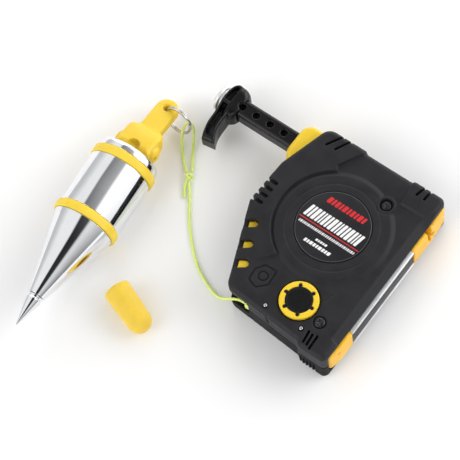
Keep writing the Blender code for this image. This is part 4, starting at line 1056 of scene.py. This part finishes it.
def make_arm():
    for name, field, low, high, keep, body, slot, look, node in (
            ("base_frame", base_field, (30.5, -54.5, 1.8), (38.0, 41.0, 22.2), 0.4,
             "case", "housing_plastic", DEEP_YELLOW, "base_block"),
            ("guide_collar", collar_field, (-45.0, 17.5, 4.0), (-29.0, 40.5, 20.0), 0.5,
             "case", "housing_plastic", YELLOW, "arm_collar"),
            ("plunger_bar", arm_field, (-84.5, 24.8, 7.0), (-17.5, 35.2, 17.0), 0.5,
             "plunger", "arm_plastic", BLACK, "arm_bar"),
            ("grip_handle", handle_field, (-89.2, 4.5, 5.0), (-74.5, 41.0, 19.0), 0.6,
             "plunger", "arm_plastic", BLACK, "t_handle")):
        add(name, sculpt(field, low, high, ARM_STEP, keep), body, slot, look, [node])
    low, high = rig.box("strike_cap")
    centre = (low + high) / 2
    facing = axes_at(Vector((high.x, centre.y, centre.z)), Vector((-1, 0, 0)), UP)
    add("strike_dome", turned(strike_profile(), 64, facing), "plunger", "steel", SATIN_STEEL, ["strike_cap"],
        sharp=50)
    eased_block("pole_upper", "upper_pole_plate", "case", "steel", POLE, 0.2)
    eased_block("pole_lower", "lower_pole_plate", "case", "steel", POLE, 0.2)
    eased_block("magnet_bar", "magnet", "case", "magnet", MAGNET, 0.15)


ARM_STEP = 0.6 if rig.quick() else 0.3
make_arm()


# ---- bob -------------------------------------------------------------------------------------
BODY_RADIUS, BAND_RADIUS, GROOVE_RADIUS = 16.4, 17.1, 15.4
LOWER_BAND, UPPER_BAND = (59.0, 63.6), (92.2, 97.0)
SHELL_PROFILE = [             # radius, height above the point, rounding, from the throat outwards
    (0.0, 84.0, 0), (4.3, 84.0, 0), (4.3, 98.4, 0), (10.8, 98.4, 0.8), (12.6, 101.8, 0.5),
    (BODY_RADIUS, 101.8, 2.9), (BODY_RADIUS, 97.1, 0.25), (GROOVE_RADIUS, 97.1, 0),
    (GROOVE_RADIUS, 92.1, 0), (BODY_RADIUS, 92.1, 0.25), (BODY_RADIUS, 63.7, 0.25),
    (GROOVE_RADIUS, 63.7, 0), (GROOVE_RADIUS, 58.9, 0), (15.95, 58.9, 0.2), (4.4, 17.4, 0.15),
    (2.2, 17.4, 0), (2.2, 26.0, 0), (0.0, 26.0, 0)]
POINT_PROFILE = [
    (0.0, 24.0, 0), (1.9, 24.0, 0), (1.9, 17.1, 0), (3.9, 17.1, 0.1), (3.55, 15.9, 0.1),
    (4.15, 15.1, 0.15), (0.28, 0.55, 0.2), (0.0, 0.0, 0)]


def band_profile(low, high):
    inner, round_off = GROOVE_RADIUS + GAP, 0.75
    return round_profile([(inner, high, 0), (BAND_RADIUS, high, round_off), (BAND_RADIUS, low, round_off),
                          (inner, low, 0)], 6)


def make_bob():
    add("bob_shell", turned(round_profile(SHELL_PROFILE, 8), 160, BOB), "weight", "polished_steel", CHROME,
        ["bob_body"], sharp=28)
    add("bob_point", turned(round_profile(POINT_PROFILE, 5), 96, BOB), "weight", "polished_steel", CHROME,
        ["bob_tip"], sharp=28)
    for name, (low, high) in (("lower_band", LOWER_BAND), ("upper_band", UPPER_BAND)):
        mesh = turned(band_profile(low + 0.1, high - 0.1), 144, BOB)
        add(name + "_ring", mesh, "weight", "band_rubber", BAND, [name], sharp=50)


make_bob()

# ---- head ------------------------------------------------------------------------------------
EYE_UP = 28.4
TAB_HALF, TAB_THICK = 5.9, 5.6
HEAD_HALF_DEPTH = 7.2
HEAD_OUTLINE = [              # the body as seen from its flat side: sideways, along, radius
    (9.6, -3.9, 0.6), (9.6, 12.6, 4.2), (-9.6, 12.6, 4.2), (-9.6, -3.9, 0.6)]
BOSS_RADIUS, BOSS_ALONG, BOSS_REACH = 4.5, 1.5, 11.5
ARCH_RADIUS, ARCH_ALONG = 3.2, -1.9
ARCH_HALF_DEPTH, ROOM_HALF_DEPTH = 3.8, 2.9
ROOM_RADIUS = 2.8             # of the room inside the arch, where the stud's eye sits
HEAD_END = -3.9
CROSS_PIN_RADIUS, EYE_RADIUS = 1.3, 1.6


def head_field(x, y, z):
    """The head in its own frame: x across its thickness, y sideways, z along it."""
    body = meet(polygon(y, z, rounded(HEAD_OUTLINE)), np.abs(x) - HEAD_HALF_DEPTH, 3.6)
    waist = ramp(z, 5.0, 15.0) * 2.4
    body = meet(body, np.abs(x) - HEAD_HALF_DEPTH + waist, 3.0)
    boss = meet(np.hypot(x, z - BOSS_ALONG) - BOSS_RADIUS, np.abs(y) - BOSS_REACH, 2.4)
    body = blend_in(body, boss, 0.35)
    tab = meet(bar(y, z, (0, 0), (0, EYE_UP + TAB_HALF), 2 * TAB_HALF), np.abs(x) - TAB_THICK / 2, 1.5)
    body = blend_in(body, tab, 1.3)
    body = meet(body, HEAD_END - z, 0.6)
    arch = bar(y, z, (0, -12.0), (0, ARCH_ALONG + ARCH_RADIUS), 2 * ARCH_RADIUS)
    body = carve(body, meet(arch, ARCH_HALF_DEPTH - np.abs(x), 0.5), 0.3)
    room = meet(bar(y, z, (0, -12.0), (0, ARCH_ALONG + ROOM_RADIUS), 2 * ROOM_RADIUS),
                np.abs(x) - ROOM_HALF_DEPTH - 0.3 * np.maximum(1.0 - z, 0))
    body = carve(body, room, 0.2)
    body = carve(body, np.hypot(x, z) - CROSS_PIN_RADIUS + 0 * y)
    flare = 0.25 * np.maximum(np.abs(x) - 1.0, 0) ** 1.5
    return carve(body, disc(y, z, (0, EYE_UP), EYE_RADIUS) - flare, 0.5)


def make_head():
    mesh = sculpt(head_field, (-8.5, -12.0, -5.2), (8.5, 12.0, 35.0), HEAD_STEP, 0.6)
    mesh.transform(HEAD)
    add("head_shell", mesh, "bob_head", "housing_plastic", YELLOW, ["head"])


HEAD_STEP = 0.45 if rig.quick() else 0.24
make_head()

# ---- split ring ------------------------------------------------------------------------------
RING_RADIUS = 7.5
RING_OUT = Vector((0.981, -0.059, -0.183)).normalized()
RING_RISE = Vector((0.192, 0.230, 0.954)).normalized()
COIL_HALF_WIDTH, COIL_HALF_HEIGHT = 0.62, 0.41
COIL_SHIFT = 0.43
COIL_START, COIL_END_GAP = 0.9, 0.25                # radians: where the wire starts, what each end lacks
COIL_STEP_ANGLE = 0.7         # radians over which the wire climbs from one coil to the other


def make_ring():
    """One flattened wire wound twice round, whose ends lie beside the climb."""
    axis = RING_OUT.cross(RING_RISE).normalized()
    rise = axis.cross(RING_OUT)
    centre = EYE / MM + RING_OUT * RING_RADIUS
    climb_at = 2 * math.pi
    steps, sides = 320, 16
    verts = []
    for i in range(steps + 1):
        turn = COIL_END_GAP + (4 * math.pi - 2 * COIL_END_GAP) * i / steps
        climb = float(ramp(turn, climb_at - COIL_STEP_ANGLE / 2, climb_at + COIL_STEP_ANGLE / 2))
        out = RING_OUT * math.cos(turn + COIL_START) + rise * math.sin(turn + COIL_START)
        middle = centre + out * RING_RADIUS + axis * COIL_SHIFT * (2 * climb - 1)
        for a in (-2 * math.pi * k / sides for k in range(sides)):
            c, s = math.cos(a), math.sin(a)
            flat = (abs(c) ** 3 + abs(s) ** 3) ** (-1 / 3)
            verts.append(middle + out * COIL_HALF_WIDTH * c * flat + axis * COIL_HALF_HEIGHT * s * flat)
    add("keyring_coils", mesh_from(verts, skin(steps + 1, sides)), "ring", "steel", NICKEL, ["split_ring"],
        sharp=60)


make_ring()

# ---- tip cap ---------------------------------------------------------------------------------
CAP_OPEN_END = Vector((-71.4, -79.3, 6.85))
CAP_DIP = -0.03                # how far its closed end leans down
CAP_YAW = math.radians(-19)
CAP_WIDE, CAP_NARROW, CAP_LENGTH = 6.8, 6.1, 26.0
CAP_BORE, CAP_DEPTH = 4.7, 17.0


def make_cap():
    along = Vector((math.cos(CAP_YAW), math.sin(CAP_YAW), CAP_DIP)).normalized()
    dome = CAP_LENGTH - CAP_NARROW
    crown = [(CAP_NARROW * math.cos(a), dome + CAP_NARROW * math.sin(a))
             for a in (math.pi / 2 * (1 - i / 16) for i in range(17))]
    crown[0] = (0.0, CAP_LENGTH)
    skirt = round_profile([(*crown[-1], 0), (CAP_WIDE, 0.0, 0.6), (CAP_BORE, 0.0, 0.5),
                           (CAP_BORE - 0.5, CAP_DEPTH, 2.0), (0.0, CAP_DEPTH, 0)], 6)
    mesh = turned(crown + skirt[1:], 96, axes_at(CAP_OPEN_END * MM, along, UP))
    add("tip_guard", mesh, "cap", "band_rubber", CAP, ["tip_cap"], sharp=60)


make_cap()

# ---- label -----------------------------------------------------------------------------------
LABEL_RADIUS, LABEL_Z = 18.3, 24.8
LABEL_FLOOR = 24.1
PRINT_HEIGHT = 0.03
SLANT = 0.22                  # sideways lean of the printed blocks for each millimetre of height


def printed(name, shapes, look):
    """Flat outlines printed on the label, given a little thickness."""
    verts, faces = [], []
    for outline in shapes:
        faces += skin(2, len(outline), len(verts))
        for z in (LABEL_Z - 0.01, LABEL_Z + PRINT_HEIGHT):
            verts += [(x, y, z) for x, y in outline]
    add(name, mesh_from(verts, faces), "case", "label_plastic", look, sharp=30)


def block(x, y, width, height, r=0.3):
    """A leaning block with its lower left corner at x, y."""
    lean = SLANT * height
    corners = [(x, y, r), (x + width, y, r), (x + width + lean, y + height, r), (x + lean, y + height, r)]
    return rounded(corners, 3)


def row_of_blocks(x, y, end, widths, height, gap, r):
    """Leaning blocks of repeating widths from x to end."""
    row = []
    for width in itertools.cycle(widths):
        if x + width > end:
            return row
        row.append(block(x, y, width, height, r))
        x += width + gap


def make_label():
    plate = round_profile([(0.0, LABEL_Z, 0), (LABEL_RADIUS, LABEL_Z, 0.3), (LABEL_RADIUS, LABEL_FLOOR, 0),
                           (0.0, LABEL_FLOOR, 0)])
    add("label_plate", turned(plate, 128), "case", "label_plastic", LABEL, ["label_disc"], sharp=30)
    rim = [(18.0, LABEL_Z + 0.02), (18.1, LABEL_Z - 0.02), (18.0, LABEL_Z - 0.08), (17.9, LABEL_Z - 0.02)]
    add("label_rim_line", turned(rim, 128), "case", "label_plastic", GREY_INK)
    title = row_of_blocks(-15.9, -2.4, 15.2, (1.5, 1.2, 1.8, 1.3, 0.8), 6.6, 0.6, 0.3)
    small = row_of_blocks(-15.6, -6.5, 16.4, (0.5, 0.8, 0.5, 0.65), 1.4, 0.42, 0.12)
    lower = row_of_blocks(-3.0, -10.4, 4.0, (1.1, 0.8), 1.2, 0.35, 0.12)
    lower += row_of_blocks(-7.7, -13.5, 8.2, (1.25, 1.0, 1.6), 1.8, 0.4, 0.2)
    printed("label_white_marks", title + small + lower, WHITE_INK)
    banner = row_of_blocks(-10.4, 8.9, 11.4, (2.0, 1.3, 1.7, 1.2), 3.4, 0.6, 0.4)
    line = [(-16.9, -3.95), (17.1, -3.95), (17.1, -3.45), (-16.9, -3.45)]
    printed("label_red_marks", banner + [line], RED_INK)


make_label()

# ---- dial, screws and pins -------------------------------------------------------------------
DIAL_RADIUS, DIAL_HUB_RADIUS, DIAL_NUB_REACH, DIAL_NUB_HALF = 9.5, 6.55, 8.35, 0.75
DIAL_GAP = 0.15
DIAL_Z, DIAL_HUB_Z = (22.1, 24.6), (23.3, 24.8)
DIAL_BORE, DIAL_STEM, DIAL_LINE = 2.8, 2.5, 6.0
DIAL_STEM_Z = (4.4, 23.6)
DIAL_ARROW = [(0.6, 3.2), (3.4, -0.8), (2.2, -1.5), (-0.6, 2.5)]
SCREW_HEAD = 2.65
SCREW_TOP, SCREW_CROWN = 23.9, 6.2
CROSS_HALF_WIDTH, CROSS_REACH, CROSS_DEPTH = 0.42, 1.65, 1.0
SHANK_RADIUS, SHANK_Z = 1.3, (5.1, 22.3)


def nubs(x, y, margin):
    """Signed distance to the six round-ended bars that cross the dial's edge."""
    near = np.inf
    for angle in (math.radians(60 * k) for k in range(6)):
        tip = (DIAL_NUB_REACH * math.cos(angle), DIAL_NUB_REACH * math.sin(angle))
        near = np.minimum(near, bar(x, y, (0, 0), tip, 2 * (DIAL_NUB_HALF + margin)))
    return near


def dial_ring_field(x, y, z):
    x, y = x - DIAL_SPOT[0], y - DIAL_SPOT[1]
    reach = np.hypot(x, y)
    body = meet(reach - DIAL_RADIUS, span(z, DIAL_Z), 0.45)
    seat = blend_in(reach - DIAL_HUB_RADIUS - DIAL_GAP, nubs(x, y, DIAL_GAP), 0.1)
    body = carve(body, meet(seat, DIAL_HUB_Z[0] - GAP - z), 0.2)
    return carve(body, reach - DIAL_BORE)


def dial_hub_field(x, y, z):
    x, y = x - DIAL_SPOT[0], y - DIAL_SPOT[1]
    low, high = DIAL_HUB_Z
    reach = np.hypot(x, y)
    flat = blend_in(reach - DIAL_HUB_RADIUS, nubs(x, y, 0.0), 0.1)
    body = meet(flat, span(z, DIAL_HUB_Z), 0.3)
    body = carve(body, meet(np.abs(reach - DIAL_LINE) - 0.12, high - 0.15 - z), 0.05)
    arrow = meet(polygon(x, y, DIAL_ARROW), np.abs(z - high + 0.35) - 0.22, 0.08)
    body = np.minimum(body, meet(arrow, low - z))
    return blend_in(body, meet(reach - DIAL_STEM, span(z, DIAL_STEM_Z)), 0.2)


def screw_field(x, y, z):
    """A pan head with a cross recess, its shank left plain."""
    reach = np.hypot(x, y)
    crown = np.hypot(reach, z - SCREW_TOP + SCREW_CROWN) - SCREW_CROWN
    head = meet(meet(reach - SCREW_HEAD, crown, 0.5), 22.0 - z, 0.1)
    arms = np.minimum(slab(x, CROSS_HALF_WIDTH, y, CROSS_REACH, 0.15),
                      slab(x, CROSS_REACH, y, CROSS_HALF_WIDTH, 0.15))
    head = carve(head, meet(arms, SCREW_TOP - CROSS_DEPTH + 0.45 * reach - z), 0.12)
    return np.minimum(head, meet(reach - SHANK_RADIUS, span(z, SHANK_Z), 0.4))


def make_dial():
    x, y = DIAL_SPOT
    low, high = (x - 10.2, y - 10.2, 21.5), (x + 10.2, y + 10.2, 25.2)
    add("lock_ring", sculpt(dial_ring_field, low, high, DIAL_STEP, 0.6), "lock_dial", "housing_plastic",
        YELLOW, ["dial_ring"])
    low = (low[0], low[1], 4.0)
    add("lock_hub", sculpt(dial_hub_field, low, high, DIAL_STEP, 0.35), "lock_dial", "arm_plastic", BLACK,
        ["dial_hub"])


def make_fasteners():
    for i, spot in enumerate(SCREW_SPOTS, start=1):
        mesh = sculpt(screw_field, (-3.0, -3.0, 4.6), (3.0, 3.0, 24.2), SCREW_STEP, 0.4)
        mesh.transform(standing_at(*spot) @ Matrix.Rotation(math.radians(20 + 55 * i), 4, 'Z'))
        add(f"cover_screw_{i}", mesh, "case", "steel", DARK_STEEL, [f"case_screw_{i}"])
    for i, spot in enumerate(PIN_SPOTS, start=1):
        profile = round_profile([(0.0, 24.2, 0), (0.85, 24.2, 0.3), (0.85, 7.4, 0.3), (0.0, 7.4, 0)])
        add(f"bright_pin_{i}", turned(profile, 40, standing_at(*spot)), "case", "steel", STEEL,
            [f"dowel_pin_{i}"], sharp=60)


DIAL_STEP = 0.3 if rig.quick() else 0.2
SCREW_STEP = 0.2 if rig.quick() else 0.14
make_dial()
make_fasteners()

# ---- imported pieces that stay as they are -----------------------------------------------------
KEPT = {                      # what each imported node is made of, where its own shape shows
    "rear_housing": DEEP_YELLOW, "cord_guide": CORD, "roller_pin": STEEL,
    "guide_roller": BLACK, "spool_axle": STEEL, "detent_spring": STEEL, "drive_pin": STEEL,
    "dial_cam": BLACK, "brake_shoe": BAND, "spool": BLACK, "cord_pack": CORD, "power_spring": STEEL,
    "cross_pin": STEEL, "swivel_stud": STEEL, "swivel_nut": STEEL}


def finish_kept_nodes():
    for name, look in KEPT.items():
        materials = frame["nodes"][name].data.materials
        materials.clear()
        materials.append(look)


finish_kept_nodes()

# ---- studio ----------------------------------------------------------------------------------
FLOOR_SIZE = 3000.0
ACROSS = BOB_AXIS.cross(UP).normalized()            # level, square to the bob
ALONG = UP.cross(ACROSS)
LEFT_BOX, RIGHT_BOX_NEAR, RIGHT_BOX_FAR = 0.92, 0.75, 1.30
LOW_LEFT, LOW_RIGHT_NEAR, LOW_RIGHT_FAR = 0.60, 0.25, 1.10   # the same near the horizon
BAND_NEAR, BAND_FAR = 0.03, 0.36                    # the dim gap overhead, from the point's end to the ring's
NEAR, FAR = -0.2, 0.31                              # where along the bob those two levels are met
BAND_EDGES_NEAR = (-2.0, 33.0)                      # degrees from overhead, across the bob
BAND_EDGES_FAR = (-24.0, 26.0)
BAND_SOFTNESS = 4.0
BAND_START, BAND_END = 0.6, 1.4                     # share of the band's level at its two edges
LEFT_FALL, RIGHT_FALL = (-75.0, -50.0), (45.0, 85.0)         # degrees over which the boxes fade down
END_MIDDLE, END_EDGES, END_BOOST = 0.06, (0.45, 0.65), 2.85     # brighter light off both ends of the bob


def make_floor():
    half = FLOOR_SIZE / 2
    corners = [(x * half, y * half, -0.05) for x, y in ((-1, -1), (1, -1), (1, 1), (-1, 1))]
    mesh = mesh_from(corners, [(0, 1, 2, 3)])
    mesh.name = "studio_floor"
    floor = bpy.data.objects.new("studio_floor", mesh)
    bpy.context.scene.collection.objects.link(floor)
    m = Nodes("studio_floor", (0.92, 0.92, 0.92), 0.9, specular_ior_level=0.0)
    mesh.materials.append(m.material)
    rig.stage(floor)


def make_world():
    world = bpy.data.worlds.new("studio")
    bpy.context.scene.world = world
    world.use_nodes = True
    tree = world.node_tree
    background = tree.nodes["Background"]
    place = tree.nodes.new("ShaderNodeTexCoord").outputs["Generated"]

    def feed(socket, value):
        if isinstance(value, (int, float)):
            socket.default_value = value
        else:
            tree.links.new(value, socket)

    def math_node(operation, *values):
        node = tree.nodes.new("ShaderNodeMath")
        node.operation = operation
        for socket, value in zip(node.inputs, values):
            feed(socket, value)
        return node.outputs[0]

    def share(direction):
        node = tree.nodes.new("ShaderNodeVectorMath")
        node.operation = 'DOT_PRODUCT'
        tree.links.new(place, node.inputs[0])
        node.inputs[1].default_value = direction
        return node.outputs["Value"]

    def between(value, start, end, low, high, kind='LINEAR'):
        node = tree.nodes.new("ShaderNodeMapRange")
        node.interpolation_type = kind
        for socket, number in zip(("Value", "From Min", "From Max", "To Min", "To Max"),
                                  (value, start, end, low, high)):
            feed(node.inputs[socket], number)
        return node.outputs[0]

    along = share(ALONG)
    angle = math_node('MULTIPLY', math_node('ARCTAN2', share(ACROSS), share(UP)), math.degrees(1))
    first = between(along, NEAR, FAR, BAND_EDGES_NEAR[0], BAND_EDGES_FAR[0])
    last = between(along, NEAR, FAR, BAND_EDGES_NEAR[1], BAND_EDGES_FAR[1])
    enter = between(math_node('SUBTRACT', angle, first), -BAND_SOFTNESS, BAND_SOFTNESS, 0, 1, 'SMOOTHSTEP')
    leave = between(math_node('SUBTRACT', angle, last), -2 * BAND_SOFTNESS, BAND_SOFTNESS, 1, 0, 'SMOOTHSTEP')
    band = math_node('MULTIPLY', enter, leave)
    progress = math_node('DIVIDE', math_node('SUBTRACT', angle, first), math_node('SUBTRACT', last, first))
    band_level = math_node('MULTIPLY', between(along, NEAR, FAR, BAND_NEAR, BAND_FAR),
                           between(progress, 0.0, 1.0, BAND_START, BAND_END))
    right = between(along, NEAR, FAR, RIGHT_BOX_NEAR, RIGHT_BOX_FAR)
    low_right = between(along, NEAR, FAR, LOW_RIGHT_NEAR, LOW_RIGHT_FAR)
    left = between(angle, *LEFT_FALL, LOW_LEFT, LEFT_BOX)
    right = between(angle, *RIGHT_FALL, right, low_right)
    boxes = between(angle, 0.0, 20.0, left, right)
    beyond = math_node('ABSOLUTE', math_node('SUBTRACT', along, END_MIDDLE))
    ends = between(beyond, *END_EDGES, 1.0, END_BOOST, 'SMOOTHSTEP')
    level = math_node('MULTIPLY', between(band, 0, 1, boxes, band_level), ends)
    tree.links.new(level, background.inputs["Strength"])
    background.inputs["Color"].default_value = (1.0, 1.0, 1.0, 1.0)


def soft_light(name, spot, size, power):
    data = bpy.data.lights.new(name, 'AREA')
    data.shape = 'DISK'
    data.size = size * MM
    data.energy = power
    light = bpy.data.objects.new(name, data)
    aim = Vector(CAMERA_AIM) - Vector(spot)
    turn = aim.to_track_quat('-Z', 'Y').to_matrix().to_4x4()
    light.matrix_world = Matrix.Translation(Vector(spot) * MM) @ turn
    bpy.context.scene.collection.objects.link(light)


make_floor()
make_world()
soft_light("key", (674.0, 458.0, 596.0), 500.0, 2.0)
bpy.context.scene.view_settings.view_transform = 'Standard'

visual_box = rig.bounds()
with open("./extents.json", "w") as file:
    json.dump({"cad": [list(corner) for corner in cad_box],
               "visual": [list(corner) for corner in visual_box]}, file)
